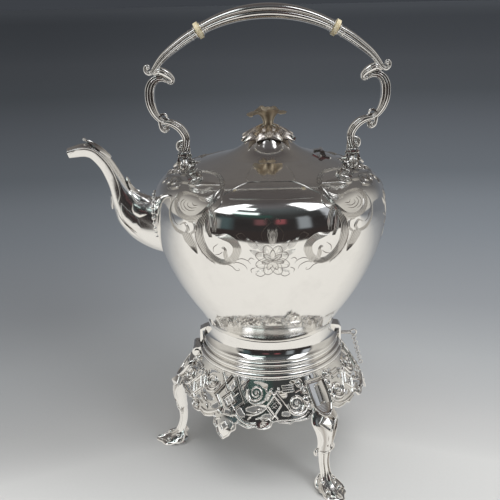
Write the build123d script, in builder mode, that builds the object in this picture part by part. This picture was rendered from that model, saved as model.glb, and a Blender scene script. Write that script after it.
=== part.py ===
"""Spirit kettle on stand: silver-plated kettle with spout, hinged lid and swing handle, tilting on a
three-legged stand that holds a spirit burner.

Millimetres, +Z up. The origin is on the kettle's axis at the floor; the spout points along -X and the
handle swings about an axis along X. Radii are measured from the kettle's axis.
"""
import os
from math import asin, atan2, cos, degrees, radians, sin

from build123d import *

# --- stand ---------------------------------------------------------------------------------------
STAND_H = 117.8            # floor to the top edge of the ring
RING_R = 61.1              # top edge of the ring
RING_BORE_R = 57.0
RING_H = 15.0
LEDGE_R = 46.5             # inner edge of the ledge the kettle stands on
LEDGE_DROP = 10.5          # ring top down to the ledge
LEDGE_T = 1.5
APRON_T = 1.6
APRON_R = 91.0             # at its lowest points
APRON_H = 55.0             # ring underside down to the pendant tips
LEG_COUNT = 3
LEG_R = 86.0               # ankle, from the axis
FOOT_R = 99.0              # middle of the sole
FOOT_LENGTH = 29.0
FOOT_WIDTH = 21.0
AXIS_X = 33.7              # kettle's axis, from the middle of the whole length
# --- kettle --------------------------------------------------------------------------------------
SEAT_GAP = 0.3             # kettle foot above the ledge
KETTLE_H = 175.7           # kettle foot to the mouth
BODY_R = 100.0
BASE_R = 48.0              # kettle foot
MOUTH_R = 35.5
WALL = 1.2
BASE_RING_H = 3.0
COLLAR_T = 1.0
COLLAR_DEPTH = 7.0
SPOUT_WALL = 1.1
FLANGE_T = 1.8
STRAINER_HOLE_R = 1.5
# --- lid and finial ------------------------------------------------------------------------------
LID_OVERLAP = 2.6          # lid rim beyond the mouth
LID_GAP = 0.4              # under the rim
LID_RISE = 21.4            # rim to the top of the dome
LID_WALL = 1.0
LID_RIM_T = 0.5
LID_RIM_DROP = 0.7         # rim's edge below the mouth's gap, along the shoulder
BEZEL_GAP = 0.8
BEZEL_T = 0.8
LID_HINGE_X = 45.0
LID_KNUCKLE_R = 1.9
LID_KNUCKLE_W = 6.0
LID_PIN_R = 0.8
STUD_R = 1.8
ROSETTE_R = 25.0
ROSETTE_T = 1.0
HUB_H = 3.1
FLOWER_R = 16.6
FLOWER_H = 13.4
FLOWER_T = 1.1
PETALS = 6
LEAVES = 8
# --- swing handle --------------------------------------------------------------------------------
HANDLE_SHARE = 0.558       # knuckles: how far they stand out from the mouth to the widest circle
HANDLE_RISE = 114.4        # pivot to the middle of the grip
GRIP_SPAN = 106.6          # between the insulators
GRIP_ARCH_R = 115.8
GRIP_R = 6.1
GRIP_END_R = 4.4
INSULATOR_R = 6.8
INSULATOR_T = 3.6
TENON_R = 2.2
TENON_L = 8.0
CROSS_PIN_R = 0.8
ARM_TOP_R = 3.9
ARM_TIP_R = 2.25
SCROLL_R = 3.2
CURL_R = 1.7
EYE_R = 3.6
EYE_W = 5.0
EYE_LIFT = 9.6             # pivot above the shoulder
EAR_T = 1.7
EAR_R = 4.0
SIDE_PLAY = 0.4
HANDLE_PIN_R = 1.6
MOUNT_T = 1.6
# --- kettle to stand -----------------------------------------------------------------------------
TILT_X = -68.6
TILT_DROP = 16.8           # ring top down to the tilt pivot
TILT_KNUCKLE_R = 4.4
TILT_KNUCKLE_W = 9.0
TILT_PIN_R = 1.7
LUG_T = 1.8
LUG_GAP = 1.3              # lug to the ring
LUG_RISE = 2.2             # lug bridge above the ring
LOCK_DROP = 5.4            # ring top down to the lock pin
LOCK_LUG_W = 12.0
LOCK_LUG_DROP = 13.0       # lock pin down to the lug's feet
LOCK_PIN_R = 1.6
LOCK_PIN_TIP_X = 55.5
LOCK_PIN_L = 19.5
FORK_GAP = 0.35
PULL_RING_R = 2.7
PULL_WIRE_R = 0.7
LINK_R = 1.8
LINK_WIRE_R = 0.42
CHAIN_DROP = 33.0
# --- burner --------------------------------------------------------------------------------------
HOOP_Z = 62.0
HOOP_R = 33.4
HOOP_H = 3.5
HOOP_T = 2.6
STRUT_R = 1.5
BURNER_GAP = 0.5
BURNER_DEPTH = 22.0
BURNER_WALL = 1.0
BURNER_NECK_R = 9.0
WICK_R = 3.6
# --- fits ----------------------------------------------------------------------------------------
FIT = 0.05                 # radial play of pins and tenons

RING_UNDER_Z = STAND_H - RING_H
LEDGE_Z = STAND_H - LEDGE_DROP
HANDLE_X = MOUTH_R + HANDLE_SHARE * (BODY_R - MOUTH_R)
KETTLE_Z = LEDGE_Z + SEAT_GAP
MOUTH_Z = KETTLE_Z + KETTLE_H
LID_Z = MOUTH_Z + LID_GAP
TILT_Z = STAND_H - TILT_DROP
LOCK_Z = STAND_H - LOCK_DROP
LEG_ANGLES = [180, 300, 60]
PANEL_ANGLES = [0, 120, 240]
THIN = 0.01

os.makedirs("parts", exist_ok=True)


def finish(piece, name):
    """Set a finished piece off from the middle of the whole, name it and write its STEP file."""
    placed = Pos(AXIS_X, 0, 0) * piece
    placed.label = name
    export_step(placed, f"parts/{name}.step")


def radial_plane(angle, distance=0.0):
    """Upright plane facing outward at an angle about Z: local X is tangential, local Y is up."""
    a = radians(angle)
    outward = Vector(cos(a), sin(a), 0)
    return Plane(origin=outward * distance, x_dir=(-sin(a), cos(a), 0), z_dir=outward)


def inset(points, depth):
    """Move an outline's points to its left by a depth, square to the outline."""
    moved = []
    for i, (x, y) in enumerate(points):
        x0, y0 = points[max(i - 1, 0)]
        x1, y1 = points[min(i + 1, len(points) - 1)]
        length = ((x1 - x0) ** 2 + (y1 - y0) ** 2) ** 0.5
        moved.append((x - (y1 - y0) / length * depth, y + (x1 - x0) / length * depth))
    return moved


def oval(plane, half_width, half_height, corners=16):
    """Oval face on a plane, started at the same place whichever way it is longer."""
    turns = [radians(360 * k / corners) for k in range(corners)]
    with BuildSketch(plane) as face:
        with BuildLine():
            Spline(*[(half_width * cos(t), half_height * sin(t)) for t in turns], periodic=True)
        make_face()
    return face.sketch


# --- the kettle's outline --------------------------------------------------------------------------
# Joints of the arcs below the widest circle: share of the way out from the foot, share of the height.
LOWER_JOINTS = [(0.394, 0.258), (0.865, 0.526), (1.0, 0.731)]
# Above it: share of the way out from the mouth, share of the height.
UPPER_JOINTS = [(0.957, 0.834), (0.791, 0.906), (0.426, 0.958), (0.0, 1.0)]
FOOT_ANGLE = 73.3          # of the wall where it leaves the foot, above the horizontal


def wall_joints():
    """Joints of the wall's outside as (radius, height, direction in degrees), foot to mouth."""
    spots = [(BASE_R, KETTLE_Z + BASE_RING_H)]
    spots += [(BASE_R + u * (BODY_R - BASE_R), KETTLE_Z + v * KETTLE_H) for u, v in LOWER_JOINTS]
    spots += [(MOUTH_R + u * (BODY_R - MOUTH_R), KETTLE_Z + v * KETTLE_H) for u, v in UPPER_JOINTS]
    joints = [(*spots[0], FOOT_ANGLE)]
    for (x0, z0), (x1, z1) in zip(spots, spots[1:]):
        chord = degrees(atan2(z1 - z0, x1 - x0))
        joints.append((x1, z1, 2 * chord - joints[-1][2]))
    return joints


def wall_arcs(depth=0.0):
    """The wall's outline in the XZ sketch plane, moved in by a depth: tangent arcs and a last straight."""
    spots = []
    for x, z, angle in wall_joints():
        a = radians(angle)
        spots.append(((x - depth * sin(a), z + depth * cos(a)), (cos(a), sin(a))))
    with BuildLine() as arcs:
        for (start, direction), (end, _) in zip(spots[:-2], spots[1:-1]):
            TangentArc(start, end, tangent=direction)
        Line(spots[-2][0], spots[-1][0])
    return arcs.line


WALL_WIRE = wall_arcs().wires()[0]


def wall_spot(share):
    """Point a share of the way along the wall's outside, foot to mouth."""
    return WALL_WIRE @ share


def wall_radius(z):
    """Outside radius of the kettle's wall at a height below the widest circle."""
    low, high = 0.0, 0.6
    for _ in range(40):
        middle = (low + high) / 2
        if wall_spot(middle).Y < z:
            low = middle
        else:
            high = middle
    return wall_spot(low).X


def shoulder_height(radius):
    """Height of the kettle's shoulder at a radius."""
    low, high = 0.65, 1.0
    for _ in range(40):
        middle = (low + high) / 2
        if wall_spot(middle).X > radius:
            low = middle
        else:
            high = middle
    return wall_spot(low).Y


def wall_ends(depth=0.0):
    """Foot and mouth ends of the outline moved in by a depth."""
    ends = wall_arcs(depth).wires()[0]
    return (ends @ 0).X, (ends @ 0).Y, (ends @ 1).X, (ends @ 1).Y


def shoulder_band(thickness):
    """Shell that lies on the outside of the kettle's wall, for pieces cut to follow it."""
    x0, z0, x1, z1 = wall_ends()
    x2, z2, x3, z3 = wall_ends(-thickness)
    with BuildPart() as band:
        with BuildSketch(Plane.XZ):
            with BuildLine():
                add(wall_arcs())
                add(wall_arcs(-thickness))
                Line((x0, z0), (x2, z2))
                Line((x1, z1), (x3, z3))
            make_face()
        revolve(axis=Axis.Z)
    return band.part


def kettle_envelope():
    """The whole space inside the kettle's outer surface."""
    x0, z0, x1, z1 = wall_ends()
    with BuildPart() as envelope:
        with BuildSketch(Plane.XZ):
            with BuildLine():
                add(wall_arcs())
                Polyline((x1, z1), (0, z1), (0, z0), (x0, z0))
            make_face()
        revolve(axis=Axis.Z)
    return envelope.part


ENVELOPE = kettle_envelope()

# --- spout ---------------------------------------------------------------------------------------
SPOUT_ROOT_Z = 220.5
SPOUT_ROOT_INSET = 14.0    # first section, inside the wall
SPOUT_SECTIONS = [         # distance out from the root's section, rise, height, width, lean in degrees
    (0.0, 0.0, 51.0, 34.0, 0),
    (12.5, 3.2, 47.5, 31.5, 11),
    (24.0, 8.3, 41.0, 26.0, 26),
    (30.2, 13.2, 36.5, 23.0, 35),
    (35.5, 18.7, 31.5, 20.0, 43),
    (38.5, 23.9, 26.0, 17.8, 48),
    (41.0, 29.2, 21.5, 16.0, 52),
    (44.6, 40.5, 15.8, 13.5, 57),
    (51.0, 54.6, 13.4, 12.5, 52),
    (55.3, 60.7, 12.8, 12.2, 46),
    (60.6, 66.0, 12.2, 12.0, 38),
    (66.0, 68.4, 11.8, 12.1, 22),
    (72.0, 68.8, 11.2, 12.4, 2),
    (83.0, 66.6, 8.6, 11.0, -12),
]


def spout_solid(shrink):
    """Spout as a solid, its sections made smaller all round by a wall thickness."""
    root_x = -(BODY_R - SPOUT_ROOT_INSET)
    with BuildPart() as tube:
        for out, rise, height, width, lean in SPOUT_SECTIONS:
            a = radians(lean)
            plane = Plane(
                origin=(root_x - out, 0, SPOUT_ROOT_Z + rise), x_dir=(0, 1, 0), z_dir=(-cos(a), 0, sin(a))
            )
            add(oval(plane, width / 2 - shrink, height / 2 - shrink))
        loft(ruled=True)
    return tube.part


SPOUT_OUTER = spout_solid(0)

with BuildPart() as spout:
    add(SPOUT_OUTER)
    add(spout_solid(SPOUT_WALL), mode=Mode.SUBTRACT)
    add(ENVELOPE, mode=Mode.SUBTRACT)
finish(spout.part, "spout")

FLANGE_H = 60.0
FLANGE_W = 42.0
FLANGE_Z = SPOUT_ROOT_Z - 1.0
BEAD_R = 1.7
BEADS_PER_SIDE = 6

with BuildPart() as spout_flange:
    with BuildSketch(Plane.YZ.offset(-BODY_R - 20)):
        with BuildLine():
            ThreePointArc(
                (0, FLANGE_Z + FLANGE_H / 2 + 2), (FLANGE_W / 2, FLANGE_Z + 8), (0, FLANGE_Z - FLANGE_H / 2)
            )
            ThreePointArc(
                (0, FLANGE_Z - FLANGE_H / 2), (-FLANGE_W / 2, FLANGE_Z + 8), (0, FLANGE_Z + FLANGE_H / 2 + 2)
            )
        make_face()
    extrude(amount=60)
    add(shoulder_band(FLANGE_T), mode=Mode.INTERSECT)
    add(SPOUT_OUTER, mode=Mode.SUBTRACT)
finish(spout_flange.part, "spout_flange")

# --- kettle body -----------------------------------------------------------------------------------
with BuildPart() as kettle_body:
    foot_x, foot_z, mouth_x, mouth_z = wall_ends()
    inner_x, inner_z, lip_x, lip_z = wall_ends(WALL)
    with BuildSketch(Plane.XZ):
        with BuildLine():
            add(wall_arcs())
            add(wall_arcs(WALL))
            Line((mouth_x, mouth_z), (lip_x, lip_z))
            Polyline((foot_x, foot_z), (0, foot_z), (0, inner_z), (inner_x, inner_z))
        make_face()
    revolve(axis=Axis.Z)
    with BuildSketch(Plane.YZ.offset(-BODY_R - 5)):
        with Locations((0, SPOUT_ROOT_Z)):
            with GridLocations(6.5, 7.0, 3, 5):
                Circle(STRAINER_HOLE_R)
    extrude(amount=30, mode=Mode.SUBTRACT)
finish(kettle_body.part, "kettle_body")

with BuildPart() as base_ring:
    with BuildSketch(Plane.XZ):
        with BuildLine():
            Polyline((BASE_R - 5, KETTLE_Z), (BASE_R - 0.8, KETTLE_Z))
            ThreePointArc((BASE_R - 0.8, KETTLE_Z), (BASE_R + 0.2, KETTLE_Z + 1.3),
                          (BASE_R - 0.6, KETTLE_Z + BASE_RING_H))
            Polyline((BASE_R - 0.6, KETTLE_Z + BASE_RING_H), (BASE_R - 5, KETTLE_Z + BASE_RING_H),
                     (BASE_R - 5, KETTLE_Z))
        make_face()
    revolve(axis=Axis.Z)
finish(base_ring.part, "base_ring")

COLLAR_R = wall_ends(WALL)[2]

with BuildPart() as mouth_collar:
    with BuildSketch(Plane.XY.offset(MOUTH_Z - COLLAR_DEPTH)):
        Circle(COLLAR_R)
        Circle(COLLAR_R - COLLAR_T, mode=Mode.SUBTRACT)
    extrude(amount=COLLAR_DEPTH)
finish(mouth_collar.part, "mouth_collar")

# --- lid -------------------------------------------------------------------------------------------
LID_R = MOUTH_R + LID_OVERLAP
LID_TOP_Z = LID_Z + LID_RISE
# Share of the lid's radius, share of its rise.
LID_SHAPE = [(0.965, 0.075), (0.86, 0.13), (0.70, 0.275), (0.52, 0.50), (0.36, 0.73), (0.23, 0.90), (0.15, 0.975)]
HUB_R = 4.4

with BuildPart() as lid:
    rim_z = LID_Z - LID_RIM_DROP
    upper = [(LID_R, rim_z + LID_RIM_T)] + [(LID_R * u, LID_Z + LID_RISE * v) for u, v in LID_SHAPE]
    upper.append((HUB_R, LID_TOP_Z))
    lower = inset(upper, LID_WALL)[1:]
    with BuildSketch(Plane.XZ):
        with BuildLine():
            Spline(*upper)
            Polyline(upper[-1], (0, LID_TOP_Z), (0, LID_TOP_Z - LID_WALL), (HUB_R - 0.6, LID_TOP_Z - LID_WALL))
            Spline(*([(HUB_R - 0.6, LID_TOP_Z - LID_WALL)] + lower[-2::-1]))
            Polyline(lower[0], (lower[0][0], LID_Z), (LID_R, rim_z), upper[0])
        make_face()
    revolve(axis=Axis.Z)
    with Locations((0, 0, LID_TOP_Z)):
        Cylinder(STUD_R + FIT, 6, mode=Mode.SUBTRACT)
finish(lid.part, "lid")
LID_SEAT_R = lower[0][0]

BEZEL_R = COLLAR_R - COLLAR_T - BEZEL_GAP
BEZEL_DEPTH = 3.6

with BuildPart() as lid_bezel:
    with BuildSketch(Plane.XZ):
        with BuildLine():
            Polyline(
                (BEZEL_R - BEZEL_T, MOUTH_Z - BEZEL_DEPTH), (BEZEL_R, MOUTH_Z - BEZEL_DEPTH), (BEZEL_R, LID_Z),
                (LID_SEAT_R, LID_Z), (LID_SEAT_R, LID_Z + 0.6), (BEZEL_R - BEZEL_T, LID_Z + 0.6),
                (BEZEL_R - BEZEL_T, MOUTH_Z - BEZEL_DEPTH),
            )
        make_face()
    revolve(axis=Axis.Z)
finish(lid_bezel.part, "lid_bezel")

# --- lid hinge: two knuckles on the kettle, one on the lid, one pin ----------------------------------
LID_HINGE_Z = shoulder_height(LID_HINGE_X) + LID_KNUCKLE_R + 1.4
LID_HINGE_GAP = 0.3
LID_HINGE_HALF = LID_KNUCKLE_W * 1.25
ALONG_Y = Plane.XZ


def knuckles(x, z, radius, spans):
    """Round knuckles about an axis along Y, each from one Y to another."""
    with BuildPart() as barrels:
        for y0, y1 in spans:
            with BuildSketch(ALONG_Y.offset(-y0)):
                with Locations((x, z)):
                    Circle(radius)
            extrude(amount=y0 - y1)
    return barrels.part


with BuildPart() as lid_hinge_knuckle:
    add(knuckles(LID_HINGE_X, LID_HINGE_Z, LID_KNUCKLE_R, [(-LID_KNUCKLE_W / 2, LID_KNUCKLE_W / 2)]))
    with BuildSketch(ALONG_Y):
        with BuildLine():
            Polyline((LID_R, rim_z), (LID_HINGE_X, LID_HINGE_Z), (LID_HINGE_X, LID_HINGE_Z + LID_KNUCKLE_R),
                     (LID_R, LID_Z + 1.7), (LID_R, rim_z))
        make_face()
    extrude(amount=LID_KNUCKLE_W / 2, both=True)
    with BuildSketch(Plane.XY.offset(LID_Z - 1)):
        Circle(LID_R)
    extrude(amount=6, mode=Mode.SUBTRACT)
    with BuildSketch(ALONG_Y):
        with Locations((LID_HINGE_X, LID_HINGE_Z)):
            Circle(LID_PIN_R + FIT)
    extrude(amount=LID_HINGE_HALF, both=True, mode=Mode.SUBTRACT)
finish(lid_hinge_knuckle.part, "lid_hinge_knuckle")

with BuildPart() as lid_hinge_plate:
    with BuildSketch(Plane.XY.offset(LID_HINGE_Z - 12)):
        with Locations((LID_HINGE_X + 3, 0)):
            RectangleRounded(9, LID_HINGE_HALF * 2, 1.5)
    extrude(amount=20)
    add(shoulder_band(1.0), mode=Mode.INTERSECT)
    inner = LID_KNUCKLE_W / 2 + LID_HINGE_GAP
    add(knuckles(LID_HINGE_X, LID_HINGE_Z, LID_KNUCKLE_R, [(-LID_HINGE_HALF, -inner), (inner, LID_HINGE_HALF)]))
    for y0, y1 in [(-LID_HINGE_HALF, -inner), (inner, LID_HINGE_HALF)]:
        with BuildSketch(ALONG_Y.offset(-y0)):
            with BuildLine():
                Polyline(
                    (LID_HINGE_X - 0.9, LID_HINGE_Z), (LID_HINGE_X + LID_KNUCKLE_R, LID_HINGE_Z),
                    (LID_HINGE_X + LID_KNUCKLE_R + 1.5, shoulder_height(LID_HINGE_X + 3.4) + 0.5),
                    (LID_HINGE_X - 0.9, shoulder_height(LID_HINGE_X) + 0.5), (LID_HINGE_X - 0.9, LID_HINGE_Z),
                )
            make_face()
        extrude(amount=y0 - y1)
    with BuildSketch(ALONG_Y):
        with Locations((LID_HINGE_X, LID_HINGE_Z)):
            Circle(LID_PIN_R + FIT)
    extrude(amount=LID_HINGE_HALF + 1, both=True, mode=Mode.SUBTRACT)
finish(lid_hinge_plate.part, "lid_hinge_plate")

with BuildPart() as lid_hinge_pin:
    with BuildSketch(ALONG_Y):
        with Locations((LID_HINGE_X, LID_HINGE_Z)):
            Circle(LID_PIN_R)
    extrude(amount=LID_HINGE_HALF - 0.3, both=True)
finish(lid_hinge_pin.part, "lid_hinge_pin")

# --- finial ----------------------------------------------------------------------------------------
ROSETTE_DROP = 14.6
ROSETTE_TOP_Z = LID_TOP_Z + HUB_H

with BuildPart() as finial_leaves:
    crown = [(HUB_R, ROSETTE_TOP_Z), (ROSETTE_R * 0.42, ROSETTE_TOP_Z - 1.7), (ROSETTE_R * 0.68, ROSETTE_TOP_Z - 5.9),
             (ROSETTE_R * 0.88, ROSETTE_TOP_Z - 11.0), (ROSETTE_R, ROSETTE_TOP_Z - ROSETTE_DROP)]
    under = inset(crown, -ROSETTE_T)
    with BuildSketch(Plane.XZ):
        with BuildLine():
            Spline(*crown)
            Line(crown[-1], under[-1])
            Spline(*under[::-1])
            Line(under[0], crown[0])
        make_face()
    revolve(axis=Axis.Z)
    with BuildSketch(Plane.XY.offset(LID_TOP_Z)):
        Circle(HUB_R)
    extrude(amount=HUB_H)
    with BuildSketch(Plane.XY.offset(LID_TOP_Z - 20)):
        with PolarLocations(0, LEAVES, start_angle=180 / LEAVES):
            with BuildLine():
                Polyline((ROSETTE_R * 0.55, 0), (ROSETTE_R + 3, 5.2), (ROSETTE_R + 3, -5.2), (ROSETTE_R * 0.55, 0))
            make_face()
    extrude(amount=40, mode=Mode.SUBTRACT)
    with BuildSketch(Plane.XY.offset(LID_TOP_Z - 1)):
        Circle(STUD_R + FIT)
    extrude(amount=HUB_H + 2, mode=Mode.SUBTRACT)
finish(finial_leaves.part, "finial_leaves")

STEM_R = 3.5
STUD_GRIP = 3.0

with BuildPart() as finial_flower:
    base_z = ROSETTE_TOP_Z
    top = [(0, base_z + FLOWER_H * 0.62), (STEM_R, base_z + FLOWER_H * 0.72), (FLOWER_R * 0.48, base_z + FLOWER_H * 0.90),
           (FLOWER_R * 0.78, base_z + FLOWER_H), (FLOWER_R, base_z + FLOWER_H * 0.84)]
    throat = [(FLOWER_R - 0.5, base_z + FLOWER_H * 0.84 - FLOWER_T), (FLOWER_R * 0.76, base_z + FLOWER_H - FLOWER_T * 1.2),
              (FLOWER_R * 0.47, base_z + FLOWER_H * 0.76), (STEM_R * 1.05, base_z + FLOWER_H * 0.36),
              (STEM_R, base_z)]
    with BuildSketch(Plane.XZ):
        with BuildLine():
            Spline(*top)
            Line(top[-1], throat[0])
            Spline(*throat)
            Polyline(throat[-1], (0, base_z), top[0])
        make_face()
    revolve(axis=Axis.Z)
    with BuildSketch(Plane.XY.offset(base_z)):
        with PolarLocations(FLOWER_R * 1.08, PETALS, start_angle=180 / PETALS):
            Circle(FLOWER_R * 0.27)
    extrude(amount=FLOWER_H + 2, mode=Mode.SUBTRACT)
    with BuildSketch(Plane.XY.offset(base_z - 1)):
        Circle(STUD_R + FIT)
    extrude(amount=STUD_GRIP + 1.2, mode=Mode.SUBTRACT)
finish(finial_flower.part, "finial_flower")

NUT_H = 2.4

with BuildPart() as finial_stud:
    with BuildSketch(Plane.XY.offset(LID_TOP_Z - LID_WALL - NUT_H - 1)):
        Circle(STUD_R)
    extrude(amount=LID_WALL + NUT_H + 1 + HUB_H + STUD_GRIP)
finish(finial_stud.part, "finial_stud")

with BuildPart() as finial_nut:
    with BuildSketch(Plane.XY.offset(LID_TOP_Z - LID_WALL - NUT_H)):
        RegularPolygon(3.6, 6)
        Circle(STUD_R + FIT, mode=Mode.SUBTRACT)
    extrude(amount=NUT_H)
finish(finial_nut.part, "finial_nut")

# --- swing handle: grip, two insulators, two scrolled arms, cross pins -------------------------------
PIVOT_Z = shoulder_height(HANDLE_X) + EYE_LIFT
ARCH_Z = PIVOT_Z + HANDLE_RISE - GRIP_ARCH_R       # centre of the grip's arch
GRIP_ANGLE = degrees(asin(GRIP_SPAN / 2 / GRIP_ARCH_R))
INSULATOR_ANGLE = degrees(INSULATOR_T / GRIP_ARCH_R)
SOCKET_ANGLE = degrees(TENON_L / GRIP_ARCH_R)


def arch_point(angle):
    """Point on the grip's arch, at an angle from the top, towards +X."""
    a = radians(angle)
    return GRIP_ARCH_R * sin(a), ARCH_Z + GRIP_ARCH_R * cos(a)


def arch_plane(angle):
    """Plane square to the grip's arch, facing towards +X and down."""
    a = radians(angle)
    x, z = arch_point(angle)
    return Plane(origin=(x, 0, z), x_dir=(0, 1, 0), z_dir=(cos(a), 0, -sin(a)))


def cross_pins(angles, radius, length):
    """Round pins or pin holes through the arch, along Y."""
    with BuildPart() as pins:
        with BuildSketch(Plane.XZ):
            with Locations(*[arch_point(a) for a in angles]):
                Circle(radius)
        extrude(amount=length / 2, both=True)
    return pins.part


PIN_ANGLES = [GRIP_ANGLE - SOCKET_ANGLE / 2, GRIP_ANGLE + INSULATOR_ANGLE + SOCKET_ANGLE / 2]

with BuildPart() as grip:
    for step in (-1.0, -0.6, -0.25, 0.25, 0.6, 1.0):
        with BuildSketch(arch_plane(step * GRIP_ANGLE)):
            Circle(GRIP_END_R + (GRIP_R - GRIP_END_R) * cos(radians(90 * step)))
    loft()
    for side in (-1, 1):
        with BuildSketch(arch_plane(side * GRIP_ANGLE)):
            Circle(TENON_R + FIT)
        extrude(amount=-side * (TENON_L + 0.5), mode=Mode.SUBTRACT)
    add(cross_pins([PIN_ANGLES[0], -PIN_ANGLES[0]], CROSS_PIN_R + FIT, GRIP_R * 3), mode=Mode.SUBTRACT)
finish(grip.part, "handle_grip")


def arc_chain(points, start_direction):
    """Tangent arcs through points in the XZ plane."""
    with BuildLine(Plane.XZ) as chain:
        direction = start_direction
        for a, b in zip(points, points[1:]):
            arc = TangentArc(a, b, tangent=direction)
            end = arc % 1
            direction = (end.X, end.Z)
    return chain.line


def round_bar(points, start_direction, radius):
    """Round bar along tangent arcs, with round ends."""
    route = arc_chain(points, start_direction)
    x, z = points[0]
    dx, dz = start_direction
    with BuildPart() as bar:
        with BuildSketch(Plane(origin=(x, 0, z), x_dir=(0, 1, 0), z_dir=(dx, 0, dz))):
            Circle(radius)
        sweep(path=route)
        with Locations((x, 0, z), (points[-1][0], 0, points[-1][1])):
            Sphere(radius)
    return bar.part


ARM_END_ANGLE = GRIP_ANGLE + INSULATOR_ANGLE
# Stations between the grip's arch and the volute: share of the way out, share of the way down, extra turn.
SHOULDER_CURVE = [(0, 0, 0), (0.40, 0.29, 6), (0.76, 0.67, 14), (1.0, 1.0, 20)]
# Offsets from the pivot (outward, up) that shape the right arm.
SHOULDER_END = (17.4, 72.7)
VOLUTE = [(16.4, 73.6), (21.6, 68.9), (26.4, 71.4), (24.2, 74.4)]
UPPER_C = [(8.6, 61.6), (16.6, 67.4), (26.3, 51.0), (21.0, 35.4), (15.6, 30.4)]
MIDDLE_CURL = [(15.6, 31.0), (13.8, 25.0), (17.5, 21.9)]
LOWER_S = [(16.4, 30.9), (6.2, 27.6), (-2.9, 14.0), (-2.4, 8.6)]
BOTTOM_CURL = [(-2.6, 11.0), (0.8, 6.8), (4.2, 8.8)]


def from_pivot(points):
    return [(HANDLE_X + x, PIVOT_Z + z) for x, z in points]


with BuildPart() as handle_arm:
    start_x, start_z = arch_point(ARM_END_ANGLE)
    [(end_x, end_z)] = from_pivot([SHOULDER_END])
    for along, down, turn in SHOULDER_CURVE:
        a = radians(ARM_END_ANGLE + turn)
        spot = Plane(
            origin=(start_x + along * (end_x - start_x), 0, start_z + down * (end_z - start_z)), x_dir=(0, 1, 0),
            z_dir=(cos(a), 0, -sin(a))
        )
        with BuildSketch(spot):
            Circle(ARM_TOP_R + (ARM_TIP_R - ARM_TOP_R) * along)
    loft()
    with Locations((end_x, 0, end_z)):
        Sphere(ARM_TIP_R * 1.2)
    add(round_bar(from_pivot(VOLUTE), (0.6, -0.8), 2.1))
    add(round_bar(from_pivot(UPPER_C), (0.35, 0.94), SCROLL_R))
    add(round_bar(from_pivot(MIDDLE_CURL), (-0.4, -0.9), CURL_R))
    add(round_bar(from_pivot(LOWER_S), (-0.94, 0.1), SCROLL_R - 0.4))
    add(round_bar(from_pivot(BOTTOM_CURL), (0.15, -0.99), CURL_R))
    with BuildSketch(Plane.YZ.offset(HANDLE_X - EYE_W / 2)):
        with Locations((0, PIVOT_Z)):
            Circle(EYE_R)
        with Locations((0, PIVOT_Z + 4.0)):
            Rectangle(EYE_R * 1.5, 8.0)
    extrude(amount=EYE_W)
    with BuildSketch(Plane.YZ.offset(HANDLE_X - EYE_W)):
        with Locations((0, PIVOT_Z)):
            Circle(HANDLE_PIN_R + FIT)
    extrude(amount=EYE_W * 2, mode=Mode.SUBTRACT)
    with BuildSketch(arch_plane(ARM_END_ANGLE)):
        Circle(TENON_R + FIT)
    extrude(amount=TENON_L + 0.5, mode=Mode.SUBTRACT)
    add(cross_pins([PIN_ANGLES[1]], CROSS_PIN_R + FIT, GRIP_R * 3), mode=Mode.SUBTRACT)

with BuildPart() as insulator:
    with BuildSketch(arch_plane(GRIP_ANGLE)):
        Circle(INSULATOR_R)
    extrude(amount=INSULATOR_T)
    with BuildSketch(arch_plane(ARM_END_ANGLE)):
        Circle(INSULATOR_R)
    extrude(amount=-INSULATOR_T, mode=Mode.INTERSECT)
    with BuildSketch(arch_plane(GRIP_ANGLE)):
        Circle(TENON_R)
    extrude(amount=-TENON_L)
    with BuildSketch(arch_plane(ARM_END_ANGLE)):
        Circle(TENON_R)
    extrude(amount=TENON_L)
    add(cross_pins(PIN_ANGLES, CROSS_PIN_R + FIT, GRIP_R * 3), mode=Mode.SUBTRACT)

for side, source in (("right", None), ("left", Plane.YZ)):
    for builder, name in ((handle_arm, "handle_arm"), (insulator, "insulator")):
        piece = builder.part if source is None else mirror(builder.part, about=source)
        finish(piece, f"{name}_{side}")

with BuildPart() as insulator_pins:
    for angle in PIN_ANGLES:
        x, z = arch_point(angle)
        for way in (-1, 1):
            with BuildSketch(Plane.XZ.offset(-GRIP_END_R * 0.75)):
                with Locations((way * x, z)):
                    Circle(CROSS_PIN_R)
            extrude(amount=GRIP_END_R * 1.5)
finish(insulator_pins.part, "insulator_pins")

# --- handle mounts: a leafy pad on the shoulder with two ears ----------------------------------------
EAR_INNER = EYE_W / 2 + SIDE_PLAY
SHOULDER_SLOPE = degrees(atan2(shoulder_height(HANDLE_X - 6) - shoulder_height(HANDLE_X + 6), 12))
PAD_LENGTH = 30.0
PAD_WIDTH = 22.0

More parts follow.
